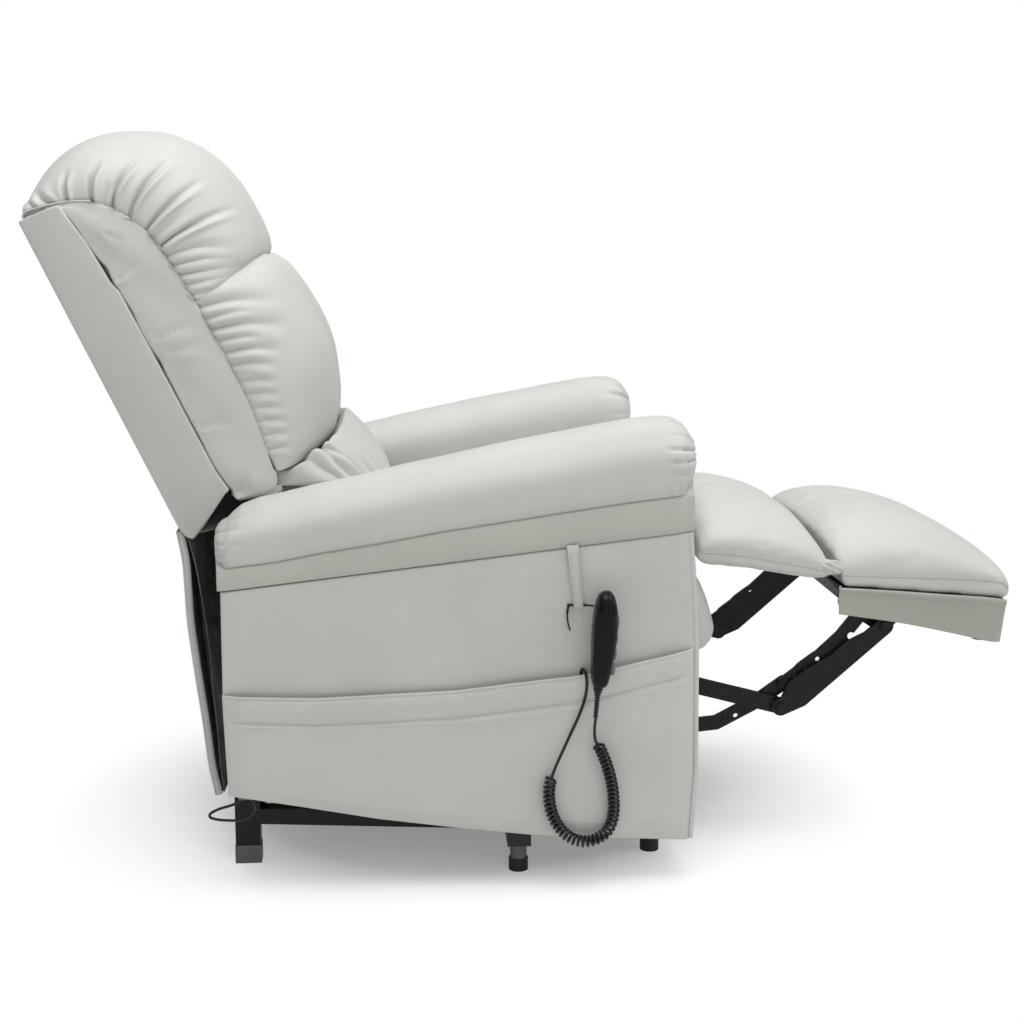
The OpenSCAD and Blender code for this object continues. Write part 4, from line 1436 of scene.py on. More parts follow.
        out = Vector((-0.905, 0, -0.426))
        parts.append(rolled_panel(rear_panel, width=540, height=464, roll=3.0, out=out, thick=8.0,
                                  nu=60, nv=50))
        top = [(-708, 922), (-694, 929), (-680, 935), (-667, 940), (-654, 944)]
        out = Vector((-0.38, 0, 0.925))
        parts.append(rolled_panel(wrapped(top, 1.0), width=540, height=56, roll=2.0, out=out,
                                  thick=6.0, nu=40, nv=8))
        low = [(-510, 502), (-504, 493), (-498, 488), (-490, 485), (-476, 502), (-461, 524)]
        out = Vector((0.3, 0, -0.954))
        parts.append(rolled_panel(wrapped(low, 0.0), width=540, height=60, roll=2.0, out=out,
                                  thick=4.0, nu=40, nv=10))
        piece(merged(parts), "back_box_cover", BOX_SIDE, "back", ["back_shell"])

    def gap_cloth(self) -> None:
        """Cover that closes the gap between the back and the seat."""
        line = ((-484, 493), (-470, 495), (-452, 491), (-430, 481), (-400, 466), (-362, 446),
                (-330, 428), (-302, 410))

        def place(u: float, v: float) -> Triple:
            """Position from side to side and from the back down to the seat.

            Args:
                u: share of the first way, from 0 to 1.
                v: share of the second way, from 0 to 1.

            Returns:
                The place as (x, y, z) in millimetres.
            """
            x, z = curve_at(line, v)
            sag = 4.0 * math.sin(math.pi * v) * (1 + 0.4 * math.sin(9 * u))
            half = mix(270, 238, min(1.0, max(0.0, v - 0.12) / 0.12))
            return (x - 0.7 * sag, mix(-half, half, u), z - 0.7 * sag)

        bm = rolled_panel(place, width=472, height=192, roll=0.8, out=Vector((0.7, 0, 0.7)),
                          thick=1.0, nu=60, nv=24)
        cloth = piece(bm, "gap_cloth", BOX_SIDE, "")
        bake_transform(cloth)

    def piping(self) -> None:
        """Sewn cord along the top edge between the pillow and the box."""
        spots = [curve_at(self.seam[:5], s) for s in even(30)]
        right = tube([at(x, -PILLOW_HALF - 1.5, z + 0.5) for x, z in spots], radius=0.0016, sides=8)
        piece(merged([right, mirrored(right)]), "pillow_piping", LEATHER, "back")

    def build(self) -> None:
        """Makes every cover of the back."""
        self.pillow()
        self.lumbar()
        for side in Side:
            self.gusset(side)
            self.under_gusset(side)
        self.band()
        self.shell()
        self.gap_cloth()
        self.piping()


# ------------------------------------------------------------------- arms


class Span(Enum):
    """Part of an arm roll along its length."""

    REAR = 0
    MIDDLE = 1
    FRONT = 2


@dataclass
class Arms:
    """Arm rolls, side panels, end panels, pocket and handset strap."""

    tops: Tuple[Pair, ...] = (
        (-440, 521), (-432, 529), (-420, 538.5), (-396, 547), (-360, 554), (-324, 562.5),
        (-267, 574.5), (-196, 591), (-88, 614), (15, 633.5), (70, 645), (119, 653.5), (150, 655.5),
        (172, 655), (190, 649), (203, 638), (212, 628))
    hem: Tuple[Pair, ...] = (
        (-440, 141), (-345, 124), (-235, 103), (-123, 87), (-11, 73), (100, 66), (207, 60))
    upper_seam: Tuple[Pair, ...] = (
        (-456, 460), (-443, 461), (-372, 469), (-315, 480), (-230, 493), (-145, 508),
        (-40, 523), (33, 534),
        (113, 545), (182, 553), (215, 557))
    front_edge: Tuple[Pair, ...] = ((60, 207), (164, 213), (333, 211), (430, 206), (501, 200))
    rear_edge: Tuple[Pair, ...] = ((141, -442), (288, -447), (428, -446))
    pocket_top: Tuple[Pair, ...] = (
        (-447, 286), (-317, 281), (-123, 288), (-40, 297), (42, 305), (85, 313), (213, 340))

    front_pulls: Tuple[Tuple[float, ...], ...] = (
        (190, 554, 172, 574), (192, 558, 180, 588), (186, 553, 152, 564), (194, 566, 188, 596),
        (176, 552, 130, 558))
    rear_pulls: Tuple[Tuple[float, ...], ...] = (
        (-452, 466, -430, 474), (-453, 472, -424, 486), (-455, 480, -432, 506),
        (-450, 464, -400, 470), (-452, 474, -420, 500), (-449, 463, -412, 482))

    def pull(self, depth: float, x0: float, z0: float, x1: float, z1: float) -> Crease:
        """Short fold that runs nearly straight from one place to another."""
        path = ((x0, z0), ((x0 + x1) / 2, (z0 + z1) / 2 + 1), (x1, z1))
        return Crease(path, depth, 2.2, 1.6, 0.4, 0.0, 0.9)

    def section(self, x: float, top: float, fill: float) -> List[Pair]:
        """Outline of the roll across the arm at x.

        Args:
            x: place along the arm.
            top: height of its top.
            fill: how full the section is.

        Returns:
            (y, z) pairs from the inner foot round to the inner side.
        """
        z0 = seam_z(x) + 0.6
        zs = height_on(self.upper_seam, x)
        yo, yi, mid = HALF_W + 1, GAP_HALF + 1, ROLL_MID
        h = max(top - zs, 4)
        strip = [(yi + 2, z0), (yo - 4.5, z0 + 0.2), (yo - 1.2, z0 + 1.6), (yo + 0.4, z0 + 4)]
        strip += [(yo + 0.5 + 1.6 * math.sin(math.pi * k), mix(z0 + 4, zs - 4, k))
                  for k in (0.17, 0.34, 0.5, 0.67, 0.84, 1.0)]
        strip += [(yo + a, zs + b) for a, b in (
            (0.2, -2.2), (-1.6, -0.9), (-3.6, -0.1), (-1.4, 0.9), (1.0, 2.2))]
        arc = []
        for k in range(1, 90):
            a = math.radians(180 * k / 90 + 2 * (1 - k / 45))
            c, s = math.cos(a), math.sin(a)
            if c > 0:
                bulge = 7.5 * fill * math.exp(-((a - 0.42) / 0.34) ** 2)
                arc.append((mid + (yo + 1 - mid) * c ** 0.8 + bulge, zs + h * s ** 0.75))
            else:
                bulge = 3 + 4 * math.exp(-((math.pi - a - 0.42) / 0.34) ** 2)
                arc.append((mid - (mid - yi + bulge * fill) * (-c) ** 0.8, zs + h * s ** 0.75))
        return strip + arc + [(yi + 1, zs - 4)]

    def roll(self) -> Work:
        """The left arm's roll with rounded, gathered ends.

        Returns:
            The mesh.
        """
        rear_end, front_cap, reach = -456, 178, 30
        rows: List[Tuple[float, float, Span]] = []
        for k in range(9):
            a = k / 9 * math.pi / 2
            share = 0.15 + 0.85 * math.sin(a) ** 0.9
            rows.append((rear_end + 24 * (1 - math.cos(a)), share, Span.REAR))
        for start, pitch, count in ((-432, 2.2, 20), (-388, 5.2, 100), (132, 2.3, 21)):
            rows.extend((start + pitch * i, 1.0, Span.MIDDLE) for i in range(count))
        for k in range(1, 21):
            a = k / 20 * math.pi / 2
            share = 0.16 + 0.84 * math.cos(a) ** 0.62
            rows.append((front_cap + reach * math.sin(a), share, Span.FRONT))
        count = len(self.section(0, 630, 1))

        def ring(i: int) -> List[Triple]:
            """One ring of the roll, drawn in towards its end's middle.

            Args:
                i: number of the row.

            Returns:
                The points of the ring.
            """
            x, f, part = rows[i]
            xe = min(max(x, -440), 203)
            outline = self.section(xe, height_on(self.tops, xe), 1.0)
            if part is Span.MIDDLE:
                return [(x, y, z) for y, z in outline]
            seam = height_on(self.upper_seam, xe)
            if part is Span.REAR:
                cz, keep, tuck = seam + 34, 1, 0.0
            else:
                cz, keep, tuck = seam + 50, 0.97, 9.0
            points = []
            for y, z in outline:
                if z > seam + 0.5:
                    back = tuck * math.exp(-((z - seam) / 16) ** 2) * (x - front_cap) / reach
                    points.append((x - back, mix(ROLL_MID, y, f), mix(cz, z, f)))
                else:
                    points.append((min(max(x, -450), 200.0), mix(ROLL_MID, y, max(f, keep)), z))
            return points

        rings = [ring(i) for i in range(len(rows))]
        last = len(rows) - 1

        def place(u: float, v: float) -> Vector:
            """Position along the arm and round the roll."""
            return at(*rings[round(u * last)][round(v * count) % count])

        bm = skin(even(last), even(count), place, closed=True, capped=True)
        uneven = waves(scale=95, seed=5.7)
        small = waves(scale=26, seed=1.7)
        seams = tuple(zip(*self.upper_seam))
        pulls = [self.pull(3.4, *spot) for spot in self.front_pulls]
        pulls += [self.pull(3.0, *spot) for spot in self.rear_pulls]

        def shape(x: np.ndarray, y: np.ndarray, z: np.ndarray) -> np.ndarray:
            """Gathers at both ends and slow unevenness.

            Args:
                x: places along the chair.
                y: distances from the middle plane.
                z: heights.

            Returns:
                The movement at each place, in millimetres.
            """
            seam = np.interp(x, *seams)
            over = ease(1.5, 10, z - seam)
            ang = np.arctan2(z - 604, y - ROLL_MID)
            front = ease(150, 190, x)
            rear_ang = np.arctan2(z - 494, y - ROLL_MID)
            rear = ease(-396, -448, x)
            pleat = np.abs(np.sin(9 * ang + 1.3 * np.sin(3 * ang + 0.5)))
            rough = 0.65 + 0.45 * np.sin(5 * ang + 1.0)
            folds = -6.5 * front * rough * np.exp(-4.0 * pleat)
            tuft = np.abs(np.sin(7 * rear_ang + 1.2 * np.sin(2 * rear_ang)))
            folds -= 3.6 * rear * (0.6 + 0.4 * np.sin(3 * rear_ang)) * np.exp(-3.6 * tuft)
            pucker = np.zeros(x.shape)
            for fold in pulls:
                pucker += fold.field(x, z)
            outside = ease(338, 366, y)
            calm = 1.5 * uneven(x, y, z) + 0.35 * small(x, y, z)
            return over * (folds + calm) + over * outside * pucker
        relief(bm, shape)
        return bm

    def rolls(self) -> None:
        """Both arm rolls, the right one mirrored, with painted shade on the strip below the upper
        seam.
        """
        left = self.roll()
        right = mirrored(left)
        for bm, side in ((left, "left"), (right, "right")):
            middles = [face.calc_center_median() * MM for face in bm.faces]
            strip = [i for i, m in enumerate(middles)
                     if m.z < height_on(self.upper_seam, m.x) - 0.6]
            obj = piece(bm, f"arm_roll_{side}", LEATHER, "chair", [f"arm_pad_{side}"])
            # The strip below the upper seam takes the darker leather: painted shade under the
            # roll's overhang.
            obj.data.materials.append(SHADE_PAINTED_LEATHER.material())
            for index in strip:
                obj.data.polygons[index].material_index = 1

    def side_cover(self, side: Side) -> None:
        """Padded outer side panel.

        Args:
            side: which arm it covers.
        """
        seed = 2.0 if side is Side.RIGHT else 11.0

        def place(u: float, v: float) -> Triple:
            """Position from the rear forward and from the hem up.

            Args:
                u: share of the first way, from 0 to 1.
                v: share of the second way, from 0 to 1.

            Returns:
                The place as (x, y, z) in millimetres.
            """
            x0 = mix(-444, 211, u)
            z = mix(height_on(self.hem, x0), seam_z(x0), v)
            x = mix(height_on(self.rear_edge, z), height_on(self.front_edge, z), u)
            w = noise.noise(Vector((x / 190 + seed, z / 120, seed))) * 2.2
            w += noise.noise(Vector((x / 60, z / 45 + seed, seed))) * 0.5
            rim = min(1.0, min(u, 1 - u) * 30, min(v, 1 - v) * 14)
            seam = 1.5 * math.exp(-(((1 - u) * 655 - 8) / 1.5) ** 2)
            return (x, side.value * (HALF_W - 0.6 + (1.2 + w) * rim - seam), z)

        out = Vector((0, side.value, 0))
        bm = rolled_panel(place, width=655, height=370, roll=3.2, out=out, thick=11.0, nu=110,
                          nv=70, grooves=(8.0,))
        piece(bm, f"side_panel_cover_{side.label}", LEATHER, "chair", [f"arm_side_{side.label}"])

    def pocket(self) -> None:
        """Side pocket with a turned top band and an elastic line under it."""
        def place(u: float, v: float) -> Triple:
            """Position from the rear forward and from the hem up.

            Args:
                u: share of the first way, from 0 to 1.
                v: share of the second way, from 0 to 1.

            Returns:
                The place as (x, y, z) in millimetres.
            """
            x0 = mix(-444, 212, u)
            top = height_on(self.pocket_top, x0)
            z = mix(height_on(self.hem, x0) - 0.5, top, v)
            x = mix(height_on(self.rear_edge, z) - 0.8, height_on(self.front_edge, z) - 8.0, u)
            side = min(1.0, u * 26) * min(1.0, (1 - u) * 22)
            foot = min(1.0, v * 9)
            out = 2.0 + 8.6 * (side * foot) ** 0.6
            below = top - z
            band = 35 + 5 * math.sin(2.6 * u + 0.4)
            out += 2.2 * math.exp(-((below - band * 0.45) / (band * 0.42)) ** 2) * side
            out -= 3.4 * math.exp(-abs((below - band) / 2.6) ** 1.4) * side
            out += 1.3 * math.exp(-((below - band - 8) / 6) ** 2) * side
            out -= 1.4 * math.exp(-((below - 4.5) / 1.6) ** 2) * side
            out -= 1.6 * math.exp(-(((1 - u) * 650 - 3) / 1.6) ** 2)
            out += 1.3 * noise.noise(Vector((x / 150, z / 90, 4.0))) * foot
            out += 0.8 * noise.noise(Vector((x / 60, z / 14, 9.0))) * math.exp(-below / 45) * side
            out += 2.8 * math.exp(-((x - 66) / 26) ** 2) * math.exp(-((below - 6) / 16) ** 2)
            out = min(out, 11.0 if z < 240 else 14.0)
            return (x, -(HALF_W + out), z)

        bm = rolled_panel(place, width=657, height=220, roll=2.2, out=Vector((0, -1, 0)),
                          thick=2.2, nu=130, nv=150, grooves=(3.0,))
        piece(bm, "pocket_cover", LEATHER, "chair", ["side_pocket"])

    def strap(self) -> None:
        """Looped strap that the handset hangs from, stitched down both edges."""
        cos5, sin5 = math.cos(math.radians(5)), -math.sin(math.radians(5))

        def local(a: float, out: float, up: float) -> Vector:
            """Place on the leaning strap."""
            return at(32 + a * cos5 + up * sin5, -HALF_W - out, 397 - a * sin5 + up * cos5)

        def outer(u: float, v: float) -> Vector:
            """Position across the strap and once round the loop.

            Args:
                u: share of the first way, from 0 to 1.
                v: share of the second way, from 0 to 1.

            Returns:
                The place in metres.
            """
            k = v * 2 * math.pi
            bulge = 4.1 + 3.6 * math.sin(k)
            up = 44 - 45 * math.copysign(abs(math.cos(k)) ** 0.35, math.cos(k))
            a = mix(mix(2.6, -0.2, up / 88), 15.6, u)
            return local(a, bulge, up + 1.5)

        us = steps(6, (0.06,))
        bm = skin(us, even(72), outer, closed=True)
        bmesh.ops.solidify(bm, geom=bm.faces, thickness=0.0016)
        bmesh.ops.recalc_face_normals(bm, faces=bm.faces)
        piece(bm, "handset_strap_cover", LEATHER, "chair", ["handset_strap"])
        rows = []
        for a in (3.8, 13.6):
            line = [local(a, 8.6 + 0.1 * math.sin(i), 6 + i * 2.0) for i in range(40)]
            rows.append(stitches(line, pitch=3.4, size=0.7, lift=Vector((0, -1, 0))))
        piece(merged(rows), "strap_stitching", THREAD, "chair")

    def ends(self) -> None:
        """Front and rear end panels and the inner arm panels."""
        front = tuple((z, x - 0.6) for z, x in self.front_edge)
        rear = ((141, -443), (288, -447), (428, -446))
        for side in Side:
            sign = side.value

            def front_place(u: float, v: float) -> Triple:
                """Position from the inside out and from the foot up.

                Args:
                    u: share of the first way, from 0 to 1.
                    v: share of the second way, from 0 to 1.

                Returns:
                    The place as (x, y, z) in millimetres.
                """
                z = mix(62, 500, v)
                lo = GAP_HALF + (12 if z < 250 else 0.5)
                y = mix(lo, HALF_W - 1, u)
                return (height_on(front, z) - 0.5 + 1.5 * math.sin(math.pi * u), sign * y, z)

            def rear_place(u: float, v: float) -> Triple:
                """Position from the inside out and from the foot up.

                Args:
                    u: share of the first way, from 0 to 1.
                    v: share of the second way, from 0 to 1.

                Returns:
                    The place as (x, y, z) in millimetres.
                """
                z = mix(148, 428, v)
                y = mix(GAP_HALF + 12, HALF_W - 1, u)
                return (height_on(rear, z) + 0.8 - 1.2 * math.sin(math.pi * u), sign * y, z)

            def inner_place(u: float, v: float) -> Triple:
                """Position from the rear forward and from the foot up.

                Args:
                    u: share of the first way, from 0 to 1.
                    v: share of the second way, from 0 to 1.

                Returns:
                    The place as (x, y, z) in millimetres.
                """
                x = mix(-436, 196, u)
                y = GAP_HALF + 0.6 - 0.8 * math.sin(math.pi * v)
                return (x, sign * y, mix(300, seam_z(x) + 1, v))

            parts = [
                rolled_panel(front_place, width=118, height=438, roll=3.0, out=Vector((1, 0, 0)),
                             thick=10.0, nu=16, nv=44),
                rolled_panel(rear_place, width=118, height=280, roll=3.0, out=Vector((-1, 0, 0)),
                             thick=9.0, nu=16, nv=30)]
            piece(merged(parts), f"arm_end_cover_{side.label}", LEATHER, "chair",
                  ["arm_end_panels"] if side is Side.RIGHT else [])
            inner = rolled_panel(inner_place, width=632, height=170, roll=2.5,
                                 out=Vector((0, -sign, 0)), thick=10.0, nu=60, nv=20)
            piece(inner, f"arm_inner_cover_{side.label}", LEATHER, "chair",
                  ["arm_inner_panels"] if side is Side.RIGHT else [])

    def build(self) -> None:
        """Makes every cover of the arms."""
        self.rolls()
        for side in Side:
            self.side_cover(side)
        self.pocket()
        self.strap()
        self.ends()


# ------------------------------------------------------------- stuffed pads


def stuffed(bm: Work, name: str, cap: float, voxel: float) -> Work:
    """Blows a pad up with a short cloth simulation and holds it near its shape.

    Args:
        bm: the closed mesh, which is used up.
        name: name for the working object.
        cap: how far a point may move, in millimetres.
        voxel: size of the remeshed faces in metres.

    Returns:
        The stuffed mesh.
    """
    bmesh.ops.triangulate(bm, faces=bm.faces)
    obj = placed(name, baked(bm, name))
    scene = bpy.context.scene
    remesh = obj.modifiers.new("even", "REMESH")
    remesh.mode = "VOXEL"
    remesh.voxel_size = voxel
    fine = applied(obj)
    obj.data = fine
    before = np.array([v.co[:] for v in fine.vertices])
    frames = 20
    cloth = obj.modifiers.new("stuffing", "CLOTH")
    cloth.settings.use_pressure = True
    cloth.settings.uniform_pressure_force = 4.0
    cloth.settings.effector_weights.gravity = 0.0
    cloth.settings.quality = 4
    cloth.point_cache.frame_start = 1
    cloth.point_cache.frame_end = frames
    for frame in range(1, frames + 1):
        scene.frame_set(frame)
    graph = bpy.context.evaluated_depsgraph_get()
    blown = obj.evaluated_get(graph).to_mesh()
    after = np.array([v.co[:] for v in blown.vertices])
    obj.evaluated_get(graph).to_mesh_clear()
    obj.modifiers.clear()
    scene.frame_set(1)
    move = after - before
    size = np.linalg.norm(move, axis=1, keepdims=True)
    limit = cap / MM
    move = move * (limit * np.tanh(size / limit) / np.maximum(size, 1e-9))
    for v, co in zip(fine.vertices, before + move):
        v.co = co
    out = bmesh.new()
    out.from_mesh(fine)
    bpy.data.objects.remove(obj)
    bmesh.ops.smooth_vert(out, verts=out.verts, factor=0.5,
                          use_axis_x=True, use_axis_y=True, use_axis_z=True)
    return out


def welt(bm: Work, seam: Sequence[Pair], start: float,
         end: float) -> Work:
    """Thin sewn line laid on both side faces of a pad.

    Args:
        bm: the pad.
        seam: side outline of the seam.
        start: share of the seam where the line begins.
        end: share where it ends.

    Returns:
        The two lines as one mesh.
    """
    outside = 320.0
    proud = 0.0002
    tree = BVHTree.FromBMesh(bm)
    lines = []
    for side in Side:
        points = []
        for s in even(120):
            x, z = curve_at(seam, mix(start, end, s))
            spot = tree.ray_cast(at(x, side.value * outside, z), Vector((0, -side.value, 0)))[0]
            if spot is not None:
                points.append(spot + Vector((0, proud * side.value, 0)))
        lines.append(tube(points, radius=0.0010, sides=8))
    return merged(lines)


@dataclass
class Pads:
    """Seat cushion, leg pad and foot cushion with the covers round them."""

    leg_seam: Tuple[Pair, ...] = (
        (230, 443), (248, 445.5), (300, 440), (350, 431), (394, 422), (414, 418), (428, 416),
        (438, 411))
    leg_crown: Tuple[Pair, ...] = (
        (238, 474), (256, 502), (300, 512), (350, 503), (386, 489), (404, 477), (415, 459),
        (424, 438))
    leg_under: Tuple[Pair, ...] = ((436, 406), (424, 402), (330, 416), (240, 429), (230, 431))
    foot_seam: Tuple[Pair, ...] = (
        (445, 409), (447, 409), (456, 409), (474, 408), (510, 406), (560, 404), (615, 401),
        (664, 398), (696, 392), (703, 380))
    foot_crown: Tuple[Pair, ...] = (
        (438, 438), (427, 461), (438, 475), (464, 484), (508, 489), (560, 482), (624, 463),
        (672, 437), (700, 415), (716, 392))

    seat_ring: Tuple[Tuple[float, ...], ...] = (
        (-286, -286, 420, 420), (-268, -268, 402, 402), (-60, -60, 402, 402), (150, 150, 402, 402),
        (210, 210, 402, 402), (226, 226, 414, 414), (226, 229, 440, 455), (222, 228, 462, 492),
        (206, 214, 474, 514), (170, 176, 480, 523), (60, 60, 470, 515), (-80, -80, 458, 501),
        (-200, -200, 448, 487), (-262, -262, 442, 478), (-284, -290, 432, 462),
        (-286, -286, 420, 420))

    def pad(self, seam: Sequence[Pair], crown: Sequence[Pair],
            under: Callable[[float], Sequence[Pair]], half: float, n: int,
            across: int) -> Work:
        """Crowned pad on a flat underside.

        Args:
            seam: side outline of its seam.
            crown: side outline of its middle.
            under: underside points for a crown share.
            half: half its width.
            n: steps over the top.
            across: steps from side to side.

        Returns:
            The closed mesh.
        """
        low = len(under(1.0))
        total = n + 1 + low

        def place(u: float, v: float) -> Vector:
            """Position at u from side to side and v round the section.

            Args:
                u: share of the first way, from 0 to 1.
                v: share of the second way, from 0 to 1.

            Returns:
                The place in metres.
            """
            t = math.sin((u - 0.5) * math.pi)
            f = dome(t, 3.0, 2.0)
            j = round(v * total) % total
            if j <= n:
                a, b = curve_at(seam, j / n), curve_at(crown, j / n)
                x, z = mix(a[0], b[0], f), mix(a[1], b[1], f)
            else:
                x, z = under(f)[j - n - 1]
            return at(x, t * half, z)

        return skin(even(across), even(total), place, closed=True, capped=True)

    def surface(self, seam: Sequence[Pair], crest: float, pucker: float, uneven: Field) -> Field:
        """Relief of a pad: seam groove, puckers, middle line and slow unevenness.

        Args:
            seam: side outline of its seam.
            crest: height where the middle line begins.
            pucker: depth of the puckers near the rear corner.
            uneven: the unevenness.

        Returns:
            The field.
        """
        gap = seam_gap(seam, n=60)

        def value(x: np.ndarray, y: np.ndarray, z: np.ndarray) -> np.ndarray:
            """Movement at each place.

            Args:
                x: places along the chair.
                y: distances from the middle plane.
                z: heights.

            Returns:
                The movement at each place, in millimetres.
            """
            near = gap(x, z)
            edge = ease(222, 238, np.abs(y))
            groove = -1.4 * np.exp(-near / 40.0) * edge
            folds = pucker * np.sin(x / 5.0) * np.exp(-near / 260.0) * ease(395, 430, x) * edge
            middle = -3.0 * np.exp(-(y / 20) ** 2) * ease(0.2, 1.0, (z - crest) / 40)
            return groove + folds + 1.2 * uneven(x, y, z) + middle
        return value

    def dressed(self, bm: Work, name: str, body: str, seam: Sequence[Pair],
                end: float, shape: Field) -> None:
        """Stuffs a pad, shapes its cover and lays its sewn lines.

        Args:
            bm: the pad, which is used up.
            name: the node that it stands for.
            body: the body that it moves with.
            seam: side outline of its seam.
            end: share of the seam where the sewn lines end.
            shape: the cover's relief.
        """
        bm = stuffed(bm, f"{name}_work", cap=4.0, voxel=0.0055)
        relief(bm, shape)
        # The welts take the darker leather: painted shade along the seam lines.
        piece(welt(bm, seam, start=0.1, end=end), f"{name}_welts", SHADE_PAINTED_LEATHER, body)
        piece(bm, f"{name}_cover", LEATHER, body, [name], level=1)

    def leg(self) -> None:
        """Leg pad between the seat and the foot cushion."""
        bm = self.pad(self.leg_seam, self.leg_crown, lambda f: self.leg_under, half=240, n=90,
                      across=130)
        shape = self.surface(self.leg_seam, crest=450, pucker=1.4, uneven=waves(scale=75, seed=2.2))
        self.dressed(bm, "leg_pad", "leg_pad", self.leg_seam, end=0.97, shape=shape)

    def foot(self) -> None:
        """Foot cushion with its crowned top and rolled front."""
        def under(f: float) -> Sequence[Pair]:
            """Underside points behind the rolled front."""
            return ((mix(702, 719, f), mix(372, 368, f)), (mix(695, 707, f), 368.4), (694, 368),
                    (449, 390), (446, 394))
        bm = self.pad(self.foot_seam, self.foot_crown, under, half=241, n=100, across=130)
        shape = self.surface(self.foot_seam, crest=420, pucker=0.0,
                             uneven=waves(scale=85, seed=6.6))
        self.dressed(bm, "foot_cushion", "footboard", self.foot_seam, end=0.96, shape=shape)

    def seat(self) -> None:
        """Seat cushion between the arms.

        A row of seat_ring holds x at the sides and in the middle, then z at both.
        """
        half = GAP_HALF - 7
        total = 96

        def place(u: float, v: float) -> Vector:
            """Position at u from side to side and v round the section.

            Args:
                u: share of the first way, from 0 to 1.
                v: share of the second way, from 0 to 1.

            Returns:
                The place in metres.
            """
            t = math.sin((u - 0.5) * math.pi)
            f = dome(t, 3.2, 2.2)
            ring = [(mix(x0, x1, f), mix(z0, z1, f)) for x0, x1, z0, z1 in self.seat_ring]
            x, z = curve_at(ring, v)
            return at(x, t * half, z)

        bm = skin(even(110), even(total), place, closed=True, capped=True)
        bm = stuffed(bm, "seat_work", cap=3.0, voxel=0.0065)
        uneven = waves(scale=90, seed=9.3)

        def shape(x: np.ndarray, y: np.ndarray, z: np.ndarray) -> np.ndarray:
            """Seams beside the middle panel and slow unevenness.

            Args:
                x: places along the chair.
                y: distances from the middle plane.
                z: heights.

            Returns:
                The movement at each place, in millimetres.
            """
            top = ease(450, 474, z)
            panel = -2.2 * np.exp(-((np.abs(y) - 176) / 3.2) ** 2) * top
            front = -2.2 * np.exp(-((x - 176) / 3.2) ** 2) * top
            return panel + front + 1.4 * uneven(x, y, z)
        relief(bm, shape)
        piece(bm, "seat_cushion_cover", LEATHER, "chair", ["seat_cushion"], level=1)

    def apron(self) -> None:
        """Padded apron under the front of the seat."""
        ring = ((214.4, 352), (214.4, 398), (228, 403), (238, 404), (252, 377), (265, 337),
                (267, 320), (258, 301), (239, 296), (222, 298), (214.4, 306), (214.4, 352))

        def place(u: float, v: float) -> Vector:
            """Position at u from side to side and v round the section.

            Args:
                u: share of the first way, from 0 to 1.
                v: share of the second way, from 0 to 1.

            Returns:
                The place in metres.
            """
            t = math.sin((u - 0.5) * math.pi)
            f = 0.35 + 0.65 * dome(t, 12.0, 2.0)
            x, z = curve_at(ring, v)
            return at(mix(216, x, f), 237 * t, mix(352, z, 0.9 + 0.1 * f))

        bm = skin(even(120), even(66), place, closed=True, capped=True)
        uneven = waves(scale=60, seed=12.5)

        def shape(x: np.ndarray, y: np.ndarray, z: np.ndarray) -> np.ndarray:
            """Slow unevenness and the groove along the lower front."""
            groove = 1.6 * np.exp(-((z - 303) / 3.0) ** 2) * ease(235, 250, x)
            return 1.6 * uneven(x, y, z) - groove
        relief(bm, shape)
        piece(bm, "apron_cover", LEATHER, "chair", ["front_apron"])

    def valance(self) -> None:
        """Skirt round the footboard: two sides and the front, folded at the corners, in darker
        leather as painted shade under the foot cushion.
        """
        top = ((444, 392), (450, 391), (520, 386), (600, 379), (660, 374), (692, 370), (698, 369))
        low = ((446, 353), (452, 350), (539, 335.5), (615, 319), (670, 306), (686, 304.5),
               (690, 305))

        def side_place(u: float, v: float) -> Triple:
            """Position from the rear forward and from the top down.

            Args:
                u: share of the first way, from 0 to 1.
                v: share of the second way, from 0 to 1.

            Returns:
                The place as (x, y, z) in millimetres.
            """
            a, b = curve_at(top, u), curve_at(low, u)
            curl = 5.0 * math.exp(-u / 0.06) * (0.6 + 0.4 * math.sin(6 * v + 1))
            wave = 1.6 * v * math.sin(8 * u + 0.7) + 2.2 * math.exp(-((v - 0.08) / 0.07) ** 2)
            wave += 1.5 * math.exp(-((u - 0.10 - 0.05 * v) / 0.035) ** 2)
            fold = 3.0 * math.sin(7.5 * v + 0.5) * math.exp(-u / 0.04)
            return (mix(a[0], b[0], v) + fold, 243.2 + wave - curl, mix(a[1], b[1], v))

        def front_place(u: float, v: float) -> Triple:
            """Position from side to side and from the top down.

            Args:
                u: share of the first way, from 0 to 1.
                v: share of the second way, from 0 to 1.

            Returns:
                The place as (x, y, z) in millimetres.
            """
            wave = 1.8 * v * math.sin(11 * u)
            z = mix(369, 304.8, v) - 2.0 * math.sin(math.pi * u) * v
            return (mix(697.5, 689, v) + wave, mix(-243, 243, u), z)

        left = rolled_panel(side_place, width=250, height=50, roll=2.0, out=Vector((0, 1, 0)),
                            thick=2.0, nu=90, nv=26)
        right = mirrored(left)
        front = rolled_panel(front_place, width=486, height=64, roll=2.0, out=Vector((1, 0, 0)),
                             thick=2.0, nu=60, nv=16)
        whole = merged([left, right, front])
        # The valance takes the darker leather: painted shade under the foot cushion.
        piece(whole, "footrest_valance", SHADE_PAINTED_SKIRT, "footboard", ["foot_valance"])

    def knots(self) -> None:
        """Puckered ends of the bridge between leg pad and foot cushion, and the web under it."""
        for side in Side:
            sign = side.value

